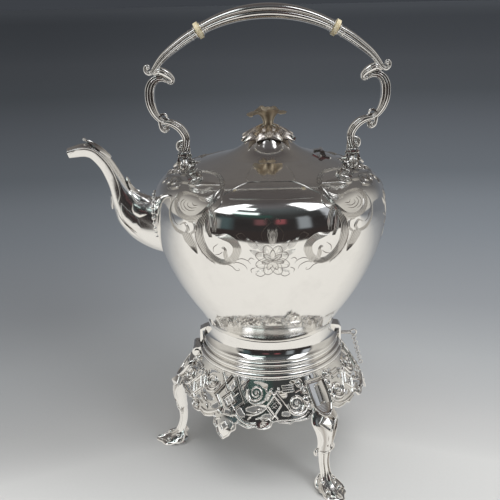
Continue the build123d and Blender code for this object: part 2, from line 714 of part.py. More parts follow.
with BuildPart() as handle_mount:
    with BuildSketch(Plane.XY.offset(PIVOT_Z - 40)):
        with Locations((HANDLE_X - 1, 0)):
            Ellipse(PAD_LENGTH / 2 * 0.8, PAD_WIDTH * 0.36)
        with Locations((HANDLE_X + 5, 0)):
            Ellipse(PAD_WIDTH * 0.28, PAD_WIDTH / 2)
        with Locations((HANDLE_X - 7, 0)):
            Ellipse(PAD_WIDTH * 0.22, PAD_WIDTH * 0.44)
        with Locations((HANDLE_X + PAD_LENGTH / 2 - 2, 0)):
            Circle(3.5)
    extrude(amount=60)
    add(shoulder_band(MOUNT_T), mode=Mode.INTERSECT)
    pad_plane = Plane(
        origin=(HANDLE_X, 0, shoulder_height(HANDLE_X)), x_dir=(cos(radians(SHOULDER_SLOPE)), 0,
                                                              -sin(radians(SHOULDER_SLOPE))),
        z_dir=(sin(radians(SHOULDER_SLOPE)), 0, cos(radians(SHOULDER_SLOPE))),
    )
    with BuildSketch(pad_plane.offset(MOUNT_T * 0.5)):
        Rectangle(EYE_W + 2 * (SIDE_PLAY + EAR_T) + 3, 10)
    with BuildSketch(Plane.XY.offset(PIVOT_Z - EYE_R - 1.0)):
        with Locations((HANDLE_X, 0)):
            Rectangle(EYE_W + 2 * (SIDE_PLAY + EAR_T), EAR_R * 2 - 1)
    loft()
    for x0 in (HANDLE_X - EAR_INNER - EAR_T, HANDLE_X + EAR_INNER):
        with BuildSketch(Plane.YZ.offset(x0)):
            with Locations((0, PIVOT_Z)):
                Circle(EAR_R)
            with Locations((0, PIVOT_Z - EYE_R * 0.5 - 1.0)):
                Rectangle(EAR_R * 1.7, EYE_R + 1.2)
        extrude(amount=EAR_T)
    with BuildSketch(Plane.YZ.offset(HANDLE_X - EAR_INNER)):
        with Locations((0, PIVOT_Z)):
            Circle(EYE_R + 0.5)
    extrude(amount=EAR_INNER * 2, mode=Mode.SUBTRACT)
    with BuildSketch(Plane.YZ.offset(HANDLE_X - EAR_INNER - EAR_T - 1)):
        with Locations((0, PIVOT_Z)):
            Circle(HANDLE_PIN_R + FIT)
    extrude(amount=(EAR_INNER + EAR_T + 1) * 2, mode=Mode.SUBTRACT)

with BuildPart() as handle_pin:
    with BuildSketch(Plane.YZ.offset(HANDLE_X - EAR_INNER - EAR_T)):
        with Locations((0, PIVOT_Z)):
            Circle(HANDLE_PIN_R)
    extrude(amount=(EAR_INNER + EAR_T) * 2)
    for x0, way in ((HANDLE_X - EAR_INNER - EAR_T, -1), (HANDLE_X + EAR_INNER + EAR_T, 1)):
        with BuildSketch(Plane.YZ.offset(x0)):
            with Locations((0, PIVOT_Z)):
                Circle(HANDLE_PIN_R * 1.5)
        extrude(amount=way * 0.8)

for side, source in (("right", None), ("left", Plane.YZ)):
    for builder, name in ((handle_mount, "handle_mount"), (handle_pin, "handle_pin")):
        piece = builder.part if source is None else mirror(builder.part, about=source)
        finish(piece, f"{name}_{side}")

# --- kettle lugs over the ring -------------------------------------------------------------------------
BRIDGE_Z = STAND_H + LUG_RISE
BRIDGE_T = 3.0
TILT_STRAP_IN = RING_R + 0.5 + LUG_GAP             # inner face of the tilt lug's strap

with BuildPart() as tilt_lug:
    with BuildSketch(ALONG_Y):
        with BuildLine():
            Polyline(
                (-BASE_R, BRIDGE_Z), (-TILT_STRAP_IN, BRIDGE_Z), (-TILT_STRAP_IN, TILT_Z),
                (-TILT_STRAP_IN - LUG_T * 1.6, TILT_Z), (-TILT_STRAP_IN - LUG_T * 1.2, BRIDGE_Z + 1),
                (-TILT_STRAP_IN + 1.5, BRIDGE_Z + BRIDGE_T), (-BASE_R, BRIDGE_Z + BRIDGE_T + 5),
                (-BASE_R, BRIDGE_Z),
            )
        make_face()
    extrude(amount=TILT_KNUCKLE_W / 2, both=True)
    add(knuckles(TILT_X, TILT_Z, TILT_KNUCKLE_R, [(-TILT_KNUCKLE_W / 2, TILT_KNUCKLE_W / 2)]))
    with BuildSketch(ALONG_Y):
        with Locations((TILT_X, TILT_Z)):
            Circle(TILT_PIN_R + FIT)
    extrude(amount=TILT_KNUCKLE_W, both=True, mode=Mode.SUBTRACT)
    add(ENVELOPE, mode=Mode.SUBTRACT)
finish(tilt_lug.part, "tilt_lug")

LOCK_FACE_X = RING_R + 0.5 + LUG_GAP

with BuildPart() as lock_lug:
    with BuildSketch(ALONG_Y):
        with BuildLine():
            Polyline(
                (BASE_R, BRIDGE_Z), (LOCK_FACE_X, BRIDGE_Z), (LOCK_FACE_X, LOCK_Z - LOCK_LUG_DROP),
                (LOCK_FACE_X + LUG_T, LOCK_Z - LOCK_LUG_DROP), (LOCK_FACE_X + LUG_T, BRIDGE_Z + 1),
                (LOCK_FACE_X, BRIDGE_Z + BRIDGE_T), (BASE_R, BRIDGE_Z + BRIDGE_T + 3), (BASE_R, BRIDGE_Z),
            )
        make_face()
    extrude(amount=LOCK_LUG_W / 2, both=True)
    with BuildSketch(Plane.YZ.offset(LOCK_FACE_X - 1)):
        with Locations((0, LOCK_Z)):
            Circle(LOCK_PIN_R + FORK_GAP)
        with Locations((0, LOCK_Z - 10)):
            Rectangle((LOCK_PIN_R + FORK_GAP) * 2, 20)
    extrude(amount=LUG_T + 3, mode=Mode.SUBTRACT)
    add(ENVELOPE, mode=Mode.SUBTRACT)
finish(lock_lug.part, "lock_lug")

# --- stand ring --------------------------------------------------------------------------------------
TILT_NOTCH_W = 24.0
LOCK_NOTCH_W = LOCK_LUG_W + 4
NOTCH_R = RING_R + 0.5

with BuildPart() as stand_ring:
    z = STAND_H
    with BuildSketch(Plane.XZ):
        with BuildLine():
            Polyline((LEDGE_R, LEDGE_Z - LEDGE_T), (LEDGE_R, LEDGE_Z), (RING_BORE_R, LEDGE_Z),
                     (RING_BORE_R, z - 1.2), (RING_BORE_R + 1.2, z), (RING_R - 0.6, z))
            ThreePointArc((RING_R - 0.6, z), (RING_R + 0.2, z - 1.2), (RING_R - 0.6, z - 2.4))
            Line((RING_R - 0.6, z - 2.4), (RING_R - 0.2, z - 2.8))
            ThreePointArc((RING_R - 0.2, z - 2.8), (RING_R + 0.5, z - 4.6), (RING_R - 0.1, z - 6.0))
            Line((RING_R - 0.1, z - 6.0), (RING_R + 1.2, z - 6.4))
            ThreePointArc((RING_R + 1.2, z - 6.4), (RING_R + 3.0, z - 8.6), (RING_R + 1.8, z - 10.4))
            Line((RING_R + 1.8, z - 10.4), (RING_R + 3.0, z - 10.8))
            ThreePointArc((RING_R + 3.0, z - 10.8), (RING_R + 5.0, z - 12.8), (RING_R + 4.4, z - RING_H))
            Polyline((RING_R + 4.4, z - RING_H), (RING_R + 1.0, z - RING_H), (RING_BORE_R + 1, LEDGE_Z - LEDGE_T),
                     (LEDGE_R, LEDGE_Z - LEDGE_T))
        make_face()
    revolve(axis=Axis.Z)
    for side, width in ((-1, TILT_NOTCH_W), (1, LOCK_NOTCH_W)):
        with BuildSketch(Plane.XY.offset(RING_UNDER_Z - 1)):
            with Locations((side * (NOTCH_R + 5), 0)):
                Rectangle(10, width)
        extrude(amount=RING_H + 2, mode=Mode.SUBTRACT)
    with BuildSketch(Plane.YZ.offset(RING_BORE_R - 4)):
        with Locations((0, LOCK_Z)):
            Circle(LOCK_PIN_R + FIT)
    extrude(amount=12, mode=Mode.SUBTRACT)
finish(stand_ring.part, "stand_ring")

# --- legs: lofts of ovals from the ring down to the toe ----------------------------------------------
LEG_TOP_R = RING_R + 2.1
HINGE_ROOM = 0.7           # between the hinge knuckles and the leg under them
ANKLE_Z = 15.0
FOOT_SECTIONS = [          # height, middle out from the ankle, half depth, half width
    (0.0, FOOT_R - LEG_R, FOOT_LENGTH / 2, FOOT_WIDTH / 2),
    (2.5, FOOT_R - LEG_R - 0.3, FOOT_LENGTH / 2 - 0.3, FOOT_WIDTH / 2 - 0.2),
    (6.0, FOOT_R - LEG_R - 3.4, FOOT_LENGTH / 2 - 3.6, FOOT_WIDTH / 2 - 1.8),
    (10.0, 3.6, 6.4, 6.4),
    (ANKLE_Z, 0.6, 3.8, 5.4),
]
LEG_SECTIONS = [           # share of the way from the ankle up to the ring, share of the way in, half depth, half width
    (0.102, 0.0, 3.6, 5.2),
    (0.239, 0.0, 4.6, 6.0),
    (0.353, 0.0, 5.4, 7.6),
    (0.478, 0.0, 6.2, 10.2),
    (0.581, 0.035, 6.0, 11.6),
    (0.695, 0.228, 5.2, 12.0),
    (0.809, 0.535, 5.2, 12.0),
    (0.911, 0.860, 5.4, 11.6),
    (1.0, 1.0, 2.6, 11.0),
]

with BuildPart() as leg:
    for height, out, depth, width in FOOT_SECTIONS:
        level = Plane(origin=(LEG_R + out, 0, height), x_dir=(1, 0, 0), z_dir=(0, 0, 1))
        add(oval(level, depth, width))
    for up, inward, depth, width in LEG_SECTIONS:
        middle = LEG_R + inward * (LEG_TOP_R - LEG_R)
        height = ANKLE_Z + up * (RING_UNDER_Z - ANKLE_Z)
        add(oval(Plane(origin=(middle, 0, height), x_dir=(1, 0, 0), z_dir=(0, 0, 1)), depth, width))
    loft(ruled=True)

with BuildPart() as left_leg:
    add(leg.part.rotate(Axis.Z, LEG_ANGLES[0]))
    with BuildSketch(Plane.XY.offset(TILT_Z - TILT_KNUCKLE_R - HINGE_ROOM)):
        with Locations((-NOTCH_R - 0.9 - 10, 0)):
            Rectangle(20, TILT_NOTCH_W + 2)
    extrude(amount=20, mode=Mode.SUBTRACT)

LEGS = [left_leg.part] + [leg.part.rotate(Axis.Z, angle) for angle in LEG_ANGLES[1:]]
for piece, name in zip(LEGS, ("leg_left", "leg_front_right", "leg_rear_right")):
    finish(piece, name)

# --- tilt hinge on the stand ---------------------------------------------------------------------------
STAND_KNUCKLE_W = 5.0
TILT_KNUCKLE_GAP = 0.35
BRACKET_T = 0.8
KNUCKLE_IN = TILT_KNUCKLE_W / 2 + TILT_KNUCKLE_GAP
KNUCKLE_OUT = KNUCKLE_IN + STAND_KNUCKLE_W
KNUCKLE_SPANS = [(-KNUCKLE_OUT, -KNUCKLE_IN), (KNUCKLE_IN, KNUCKLE_OUT)]

with BuildPart() as tilt_bracket:
    add(knuckles(TILT_X, TILT_Z, TILT_KNUCKLE_R, KNUCKLE_SPANS))
    for y0, y1 in KNUCKLE_SPANS:
        with BuildSketch(ALONG_Y.offset(-y0)):
            with BuildLine():
                Polyline(
                    (TILT_X, TILT_Z + TILT_KNUCKLE_R - 0.4), (-NOTCH_R, TILT_Z + TILT_KNUCKLE_R + 2),
                    (-NOTCH_R, RING_UNDER_Z - 6), (TILT_X, TILT_Z - TILT_KNUCKLE_R + 0.4),
                    (TILT_X, TILT_Z + TILT_KNUCKLE_R - 0.4),
                )
            make_face()
        extrude(amount=y0 - y1)
    with BuildSketch(ALONG_Y):
        with Locations((TILT_X, TILT_Z)):
            Circle(TILT_PIN_R + FIT)
    extrude(amount=KNUCKLE_OUT + 1, both=True, mode=Mode.SUBTRACT)
    with BuildSketch(Plane.YZ.offset(-NOTCH_R - BRACKET_T)):
        with Locations((0, RING_UNDER_Z + 3.2)):
            Rectangle(KNUCKLE_OUT * 2, 6.0)
    extrude(amount=BRACKET_T)
    add(LEGS[0], mode=Mode.SUBTRACT)
finish(tilt_bracket.part, "tilt_bracket")

with BuildPart() as tilt_pin:
    with BuildSketch(ALONG_Y):
        with Locations((TILT_X, TILT_Z)):
            Circle(TILT_PIN_R)
    extrude(amount=KNUCKLE_OUT + 0.4, both=True)
    for way in (-1, 1):
        with BuildSketch(ALONG_Y.offset(way * (KNUCKLE_OUT + 0.4))):
            with Locations((TILT_X, TILT_Z)):
                Circle(TILT_PIN_R * 1.5)
        extrude(amount=way * 1.2)
finish(tilt_pin.part, "tilt_pin")

# --- lock pin and its chain ------------------------------------------------------------------------------
PULL_X = LOCK_PIN_TIP_X + LOCK_PIN_L + PULL_RING_R - PULL_WIRE_R * 0.5

with BuildPart() as lock_pin:
    with BuildSketch(Plane.YZ.offset(LOCK_PIN_TIP_X)):
        with Locations((0, LOCK_Z)):
            Circle(LOCK_PIN_R)
    extrude(amount=LOCK_PIN_L)
    chamfer(lock_pin.edges().filter_by(GeomType.CIRCLE).sort_by(Axis.X)[0], 0.4)
    with Locations(Plane(origin=(PULL_X, 0, LOCK_Z), x_dir=(1, 0, 0), z_dir=(0, -1, 0))):
        Torus(PULL_RING_R, PULL_WIRE_R)
finish(lock_pin.part, "lock_pin")

LINK_PITCH = (LINK_R - LINK_WIRE_R) * 2 - 0.12
CHAIN_TOP = (PULL_X, LOCK_Z - PULL_RING_R - (LINK_R - LINK_WIRE_R - PULL_WIRE_R) * 0.66)
CHAIN_RUN = 9.0            # how far out the chain's lower end hangs

with BuildPart() as lock_chain:
    count = int(CHAIN_DROP / LINK_PITCH)
    lean = atan2(CHAIN_RUN, CHAIN_DROP)
    for k in range(count):
        x = CHAIN_TOP[0] + k * LINK_PITCH * sin(lean)
        z = CHAIN_TOP[1] - k * LINK_PITCH * cos(lean)
        facing = (0, -1, 0) if k % 2 else (cos(lean), 0, sin(lean))
        with Locations(Plane(origin=(x, 0, z), x_dir=(sin(lean), 0, -cos(lean)), z_dir=facing)):
            Torus(LINK_R, LINK_WIRE_R)
finish(lock_chain.part, "lock_chain")

# --- apron: a pierced skirt under the ring, three panels between the legs ----------------------------
APRON_TOP_R = RING_R + 3.4
PANEL_HALF_W = APRON_R * sin(radians(180 / LEG_COUNT))
APRON_CURVE = [(0.0, 0.0), (0.25, 0.18), (0.55, 0.41), (0.78, 0.60), (0.93, 0.80), (1.0, 1.0)]


def apron_outline(depth):
    """Outside of the apron moved in by a depth, top to bottom."""
    rows = [(APRON_TOP_R + u * (APRON_R - APRON_TOP_R), RING_UNDER_Z - v * APRON_H) for u, v in APRON_CURVE]
    return inset(rows, -depth)


def lower_edge():
    """What is cut away under a panel: half of its lobed edge, tangential and up from the floor."""
    low = RING_UNDER_Z - APRON_H
    return [(0, low), (6, low + 8), (9, low + 14.5), (17, low + 16), (24, low + 21), (33, low + 22.5),
            (38, low + 27), (50, low + 29), (62, low + 27), (PANEL_HALF_W, low + 30)]


PIERCINGS = [              # tangential, drop below the ring, half length, half height, turn in degrees
    (9.0, 12.0, 4.4, 2.4, 35), (20.0, 11.5, 4.6, 2.4, -30), (31.0, 11.5, 4.2, 2.4, 25), (41.0, 12.5, 3.8, 2.2, -20),
    (11.0, 21.5, 4.0, 2.4, -40), (21.5, 21.0, 4.2, 2.2, 30), (31.5, 20.5, 3.6, 2.2, 0),
    (7.5, 29.0, 2.8, 2.0, 40), (15.5, 28.0, 3.2, 1.8, -10),
]
LOZENGE_DROPS = [(10.0, 3.0), (21.5, 4.0), (36.5, 3.4)]   # drop, half height, on each panel's middle

with BuildPart() as apron:
    outer = apron_outline(0)
    back = apron_outline(APRON_T)
    back[0] = (back[0][0], RING_UNDER_Z)
    with BuildSketch(Plane.XZ):
        with BuildLine():
            Polyline(*outer)
            Line(outer[-1], back[-1])
            Polyline(*back[::-1])
            Line(back[0], outer[0])
        make_face()
    revolve(axis=Axis.Z)
    for angle in PANEL_ANGLES:
        half = lower_edge()
        with BuildSketch(radial_plane(angle, 40)):
            with BuildLine():
                Polyline(*half, (PANEL_HALF_W, 20), (-PANEL_HALF_W, 20), *[(-x, z) for x, z in half[::-1]])
            make_face()
            for side in (-1, 1):
                for t, drop, length, height, turn in PIERCINGS:
                    with Locations(Location((side * t, RING_UNDER_Z - drop), side * turn)):
                        Ellipse(length, height)
            for drop, height in LOZENGE_DROPS:
                with Locations((0, RING_UNDER_Z - drop)):
                    Polygon((-height * 0.7, 0), (0, height), (height * 0.7, 0), (0, -height))
        extrude(amount=70, mode=Mode.SUBTRACT)
    for piece in LEGS:
        add(piece, mode=Mode.SUBTRACT)
    for x, low, width in ((-APRON_R, TILT_Z - TILT_KNUCKLE_R - HINGE_ROOM, TILT_NOTCH_W + 2),
                          (APRON_R, LOCK_Z - LOCK_LUG_DROP - HINGE_ROOM, LOCK_NOTCH_W)):
        with BuildSketch(Plane.XY.offset(low)):
            with Locations((x, 0)):
                Rectangle(APRON_R, width)
        extrude(amount=20, mode=Mode.SUBTRACT)
finish(apron.part, "apron")

# --- burner hoop and its struts ------------------------------------------------------------------------
BURNER_HOOP_TOP = HOOP_Z + HOOP_H

with BuildPart() as burner_hoop:
    with BuildSketch(Plane.XY.offset(HOOP_Z)):
        Circle(HOOP_R)
        Circle(HOOP_R - HOOP_T, mode=Mode.SUBTRACT)
    extrude(amount=HOOP_H)
finish(burner_hoop.part, "burner_hoop")

STRUT_Z = HOOP_Z + HOOP_H / 2

with BuildPart() as burner_struts:
    for angle in LEG_ANGLES:
        with BuildSketch(radial_plane(angle, HOOP_R - 0.5)):
            with Locations((0, STRUT_Z)):
                Circle(STRUT_R)
        extrude(amount=LEG_R - HOOP_R)
    add(burner_hoop.part, mode=Mode.SUBTRACT)
    for piece in LEGS:
        add(piece, mode=Mode.SUBTRACT)
finish(burner_struts.part, "burner_struts")

# --- spirit burner: reservoir hung in the hoop, screw collar, wick holder and wick ---------------------
BOWL_R = HOOP_R - HOOP_T - BURNER_GAP
RIM_Z = BURNER_HOOP_TOP + 0.2
RIM_T = 1.6
NECK_Z = RIM_Z + 6.0

with BuildPart() as burner_reservoir:
    with BuildSketch(Plane.XZ):
        with BuildLine():
            Line((0, RIM_Z - BURNER_DEPTH), (BOWL_R * 0.55, RIM_Z - BURNER_DEPTH))
            ThreePointArc((BOWL_R * 0.55, RIM_Z - BURNER_DEPTH), (BOWL_R * 0.9, RIM_Z - BURNER_DEPTH * 0.62),
                          (BOWL_R, RIM_Z - 2))
            Polyline((BOWL_R, RIM_Z - 2), (BOWL_R, RIM_Z), (HOOP_R - 0.4, RIM_Z), (HOOP_R - 0.4, RIM_Z + RIM_T),
                     (BOWL_R, RIM_Z + RIM_T))
            ThreePointArc((BOWL_R, RIM_Z + RIM_T), (BOWL_R * 0.68, RIM_Z + 4.6), (BURNER_NECK_R, NECK_Z))
            Polyline((BURNER_NECK_R, NECK_Z), (WICK_R + 1.4, NECK_Z), (WICK_R + 1.4, NECK_Z - 3.0))
            ThreePointArc((WICK_R + 1.4, NECK_Z - 3.0), (BOWL_R * 0.66, RIM_Z + 3.2), (BOWL_R - BURNER_WALL, RIM_Z))
            ThreePointArc((BOWL_R - BURNER_WALL, RIM_Z), (BOWL_R * 0.86, RIM_Z - BURNER_DEPTH * 0.58),
                          (BOWL_R * 0.53, RIM_Z - BURNER_DEPTH + BURNER_WALL))
            Polyline((BOWL_R * 0.53, RIM_Z - BURNER_DEPTH + BURNER_WALL), (0, RIM_Z - BURNER_DEPTH + BURNER_WALL),
                     (0, RIM_Z - BURNER_DEPTH))
        make_face()
    revolve(axis=Axis.Z)
finish(burner_reservoir.part, "burner_reservoir")

COLLAR_H = 5.0
HOLDER_TOP = NECK_Z + 12.0

with BuildPart() as burner_collar:
    with BuildSketch(Plane.XY.offset(NECK_Z)):
        Circle(BURNER_NECK_R + 1.2)
        Circle(WICK_R + 1.3 + FIT, mode=Mode.SUBTRACT)
    extrude(amount=COLLAR_H)
finish(burner_collar.part, "burner_collar")

with BuildPart() as wick_holder:
    with BuildSketch(Plane.XY.offset(NECK_Z - 6)):
        Circle(WICK_R + 1.3)
        Circle(WICK_R + FIT, mode=Mode.SUBTRACT)
    extrude(amount=HOLDER_TOP - NECK_Z + 6)
finish(wick_holder.part, "wick_holder")

with BuildPart() as wick:
    with BuildSketch(Plane.XY.offset(RIM_Z - BURNER_DEPTH + BURNER_WALL + 1.0)):
        Circle(WICK_R)
    extrude(amount=HOLDER_TOP + 3.0 - (RIM_Z - BURNER_DEPTH + BURNER_WALL + 1.0))
finish(wick.part, "wick")
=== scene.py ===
"""Looks of a silver spirit kettle on its stand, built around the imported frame.

Sizes are in millimetres until a mesh is made. +Z is up, the spout points along -X and the front is -Y.
Shapes are made about the kettle's axis and moved to it at the end. Angles about Z are in degrees from +X
towards +Y, so the front is at 270.
"""
import bmesh
import bpy
import numpy as np
from mathutils import Matrix, Vector, geometry


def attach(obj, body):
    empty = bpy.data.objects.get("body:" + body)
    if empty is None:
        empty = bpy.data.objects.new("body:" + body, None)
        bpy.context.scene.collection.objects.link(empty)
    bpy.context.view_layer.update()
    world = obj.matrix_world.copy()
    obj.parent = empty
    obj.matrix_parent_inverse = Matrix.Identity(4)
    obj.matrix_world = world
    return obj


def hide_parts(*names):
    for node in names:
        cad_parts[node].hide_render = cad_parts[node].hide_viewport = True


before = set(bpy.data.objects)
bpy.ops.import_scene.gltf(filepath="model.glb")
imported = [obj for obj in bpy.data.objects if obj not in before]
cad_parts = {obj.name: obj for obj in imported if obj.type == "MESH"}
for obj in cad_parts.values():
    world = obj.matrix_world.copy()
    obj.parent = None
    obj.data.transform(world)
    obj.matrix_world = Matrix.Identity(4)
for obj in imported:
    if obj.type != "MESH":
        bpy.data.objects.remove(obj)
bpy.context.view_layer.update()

MM = 0.001
AXIS_X = 33.7                        # the kettle's axis in the frame; shapes are made about it
FRONT = 270.0
BACK = 90.0
SHARP = np.radians(38)               # edges that turn by more stay crisp
random = np.random.default_rng(11)   # small unevenness of the hand-cut work


# --- small helpers -------------------------------------------------------------------------------
def lengths(points):
    """Distance along a path at each of its points."""
    return np.concatenate([[0], np.cumsum(np.linalg.norm(np.diff(points, axis=0), axis=1))])


def unit(vectors):
    return vectors / np.linalg.norm(vectors, axis=-1, keepdims=True)


def ways(path):
    """Unit direction of a path at each of its points."""
    return unit(np.gradient(path, axis=0))


def heading(angle):
    """Unit vector in a plane at an angle in degrees from its first axis."""
    a = np.radians(angle)
    return np.array([np.cos(a), np.sin(a)])


def loop(points):
    """Points that end where they start."""
    points = np.asarray(points, float)
    return np.concatenate([points, points[:1]])


def circle(count):
    """Cosines and sines of even turns."""
    turns = np.linspace(0, 2 * np.pi, count, endpoint=False)
    return np.cos(turns), np.sin(turns)


def new_object(name, data):
    thing = bpy.data.objects.new(name, data)
    bpy.context.scene.collection.objects.link(thing)
    return thing


# --- meshes --------------------------------------------------------------------------------------
def grid_faces(rows, columns, wrap_rows=False, wrap_columns=False):
    """Quads between the points of a grid."""
    i = np.arange(rows if wrap_rows else rows - 1)
    j = np.arange(columns if wrap_columns else columns - 1)
    a, b = np.meshgrid(i, j, indexing="ij")
    a2 = (a + 1) % rows
    b2 = (b + 1) % columns
    corners = [a * columns + b, a * columns + b2, a2 * columns + b2, a2 * columns + b]
    return np.stack(corners, -1).reshape(-1, 4)


class Shape:
    """Points in millimetres, faces between them, and how tarnished each point is, from 0 to 1."""

    def __init__(self):
        self.points = []
        self.faces = []
        self.tones = []
        self.count = 0

    def add(self, points, faces, tone=0.0):
        points = np.asarray(points, float).reshape(-1, 3)
        self.points.append(points)
        self.tones.append(np.broadcast_to(np.asarray(tone, float).ravel(), (len(points),)))
        for group in faces if isinstance(faces, list) else [faces]:
            self.faces.append(np.asarray(group, int) + self.count)
        self.count += len(points)
        return self

    def tube(self, rings, tone=0.0):
        """Closed skin over rings of points, shut at both ends by a fan."""
        rings = np.asarray(rings, float)
        rows, columns = rings.shape[:2]
        ends = np.stack([rings[0].mean(0), rings[-1].mean(0)])
        points = np.concatenate([rings.reshape(-1, 3), ends])
        k = np.arange(columns)
        after = (k + 1) % columns
        first = rows * columns
        last = (rows - 1) * columns
        fans = np.concatenate([
            np.stack([np.full(columns, first), after, k], -1),
            np.stack([np.full(columns, first + 1), last + k, last + after], -1),
        ])
        if np.ndim(tone):
            tone = np.broadcast_to(tone, (rows, columns)).ravel()
            tone = np.concatenate([tone, [0.0, 0.0]])
        return self.add(points, [grid_faces(rows, columns, wrap_columns=True), fans], tone)

    def turned(self, outline, segments):
        """Surface of revolution about Z of a closed outline of (radius, height)."""
        outline = np.asarray(outline, float)
        cos, sin = circle(segments)
        points = np.stack([np.outer(cos, outline[:, 0]), np.outer(sin, outline[:, 0]),
                           np.tile(outline[:, 1], (segments, 1))], -1)
        return self.add(points, grid_faces(segments, len(outline), True, True))

    def moved(self, change):
        """The same faces with every point put through a function."""
        other = Shape()
        other.points = [change(p) for p in self.points]
        other.faces = self.faces
        other.tones = self.tones
        other.count = self.count
        return other

    def join(self, other):
        for faces in other.faces:
            self.faces.append(faces + self.count)
        self.points += other.points
        self.tones += other.tones
        self.count += other.count
        return self

    def piece(self, name, body, slot, material, *replaced, sharp=SHARP):
        """Blender object of the shape, riding on a body."""
        points = (np.concatenate(self.points) + (AXIS_X, 0, 0)) * MM
        mesh = bpy.data.meshes.new(name)
        mesh.vertices.add(len(points))
        mesh.vertices.foreach_set("co", points.ravel())
        loops = np.concatenate([f.ravel() for f in self.faces])
        sizes = np.concatenate([np.full(len(f), f.shape[1]) for f in self.faces])
        mesh.loops.add(len(loops))
        mesh.loops.foreach_set("vertex_index", loops)
        mesh.polygons.add(len(sizes))
        mesh.polygons.foreach_set("loop_start", np.concatenate([[0], np.cumsum(sizes)[:-1]]))
        tone = mesh.attributes.new("tone", "FLOAT", "POINT")
        tone.data.foreach_set("value", np.concatenate(self.tones).astype(np.float32))
        mesh.update(calc_edges=True)
        mesh.validate()
        tidy = bmesh.new()
        tidy.from_mesh(mesh)
        bmesh.ops.remove_doubles(tidy, verts=tidy.verts, dist=1e-6)
        bmesh.ops.dissolve_degenerate(tidy, edges=tidy.edges, dist=1e-6)
        bmesh.ops.recalc_face_normals(tidy, faces=tidy.faces)
        tidy.to_mesh(mesh)
        tidy.free()
        mesh.polygons.foreach_set("use_smooth", np.ones(len(mesh.polygons), bool))
        mesh.set_sharp_from_angle(angle=sharp)
        mesh.materials.append(material)
        piece = new_object(name, mesh)
        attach(piece, body)
        if replaced:
            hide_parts(*replaced)
        return piece


def mirrored(points):
    return points * (-1, 1, 1)


def turned_by(angle):
    """A function that turns points about Z."""
    a = np.radians(angle)
    turn = np.array([[np.cos(a), -np.sin(a), 0], [np.sin(a), np.cos(a), 0], [0, 0, 1]])
    return lambda points: points @ turn.T


# --- curves --------------------------------------------------------------------------------------
def curve(points, step=1.0):
    """Smooth curve through points in any number of dimensions, resampled at even steps."""
    points = np.asarray(points, float)
    padded = np.concatenate([[2 * points[0] - points[1]], points, [2 * points[-1] - points[-2]]])
    knots = np.concatenate([[0], np.cumsum(np.linalg.norm(np.diff(padded, axis=0), axis=1) ** 0.5)])
    dense = []
    for i in range(1, len(padded) - 2):
        t0, t1, t2, t3 = knots[i - 1:i + 3]
        p0, p1, p2, p3 = padded[i - 1:i + 3]
        t = np.linspace(t1, t2, 24, endpoint=False)[:, None]
        a1 = (t1 - t) / (t1 - t0) * p0 + (t - t0) / (t1 - t0) * p1
        a2 = (t2 - t) / (t2 - t1) * p1 + (t - t1) / (t2 - t1) * p2
        a3 = (t3 - t) / (t3 - t2) * p2 + (t - t2) / (t3 - t2) * p3
        b1 = (t2 - t) / (t2 - t0) * a1 + (t - t0) / (t2 - t0) * a2
        b2 = (t3 - t) / (t3 - t1) * a2 + (t - t1) / (t3 - t1) * a3
        dense.append((t2 - t) / (t2 - t1) * b1 + (t - t1) / (t2 - t1) * b2)
    dense = np.concatenate(dense + [padded[-2:-1]])
    return resampled(dense, step)


def resampled(points, step):
    along = lengths(points)
    count = max(int(round(along[-1] / step)), 3)
    at = np.linspace(0, along[-1], count + 1)
    return np.stack([np.interp(at, along, points[:, k]) for k in range(points.shape[1])], -1)


def spread(values, count):
    """Values eased evenly over a count of stations."""
    values = np.asarray(values, float)
    return np.interp(np.linspace(0, 1, count), np.linspace(0, 1, len(values)), values)


def volute(centre, radius, start, turns, inner, step=0.8):
    """Spiral that starts on a circle and winds in; turns below zero wind the other way."""
    t = np.linspace(0, 1, 60)
    r = radius * (1 - (1 - inner) * t)
    a = np.radians(start + 360 * turns * t)
    return resampled(np.stack([centre[0] + r * np.cos(a), centre[1] + r * np.sin(a)], -1), step)


# --- surfaces that ornament lies on -------------------------------------------------------------
class Turned:
    """Outline of (radius, height) turned about Z. Places on it are an angle in degrees and a way along it."""

    def __init__(self, outline, start=0.0):
        outline = np.asarray(outline, float)
        self.s = lengths(outline) + start
        self.r, self.z = outline.T
        way = ways(outline)
        self.out = np.stack([way[:, 1], -way[:, 0]], -1)
        if self.out[:, 0].mean() < 0:
            self.out = -self.out

    def at(self, angle, s, height=0.0):
        r = np.interp(s, self.s, self.r) + np.interp(s, self.s, self.out[:, 0]) * height
        z = np.interp(s, self.s, self.z) + np.interp(s, self.s, self.out[:, 1]) * height
        a = np.radians(angle)
        return np.stack([r * np.cos(a), r * np.sin(a), z], -1)

    def per_degree(self, s):
        return np.interp(s, self.s, self.r) * np.pi / 180

    def place(self, across, s, height=0.0, centre=0.0, side=1):
        """Point a distance across in mm from a centre line at an angle."""
        return self.at(centre + side * across / self.per_degree(s), s, height)


# Cross sections of bars: (share of the half width, share of the rise, tarnish).
DOME = [(-1, 0, .3), (-.88, .48, 0), (-.5, .87, 0), (0, 1, 0), (.5, .87, 0), (.88, .48, 0), (1, 0, .3)]
FLAT = [(-1, 0, .3), (-.94, .86, 0), (-.75, 1, 0), (.75, 1, 0), (.94, .86, 0), (1, 0, .3)]
RAIL = [(-1, 0, .4), (-.95, .92, 0), (-.72, 1, 0), (-.55, .3, .7), (0, .42, .3), (.55, .3, .7), (.72, 1, 0),
        (.95, .92, 0), (1, 0, .4)]
LEAF = [(-1, .12, .3), (-.62, .66, 0), (-.22, .84, .15), (-.07, .5, .9), (0, .66, .3), (.07, .5, .9),
        (.22, .84, .15), (.62, .66, 0), (1, .12, .3)]


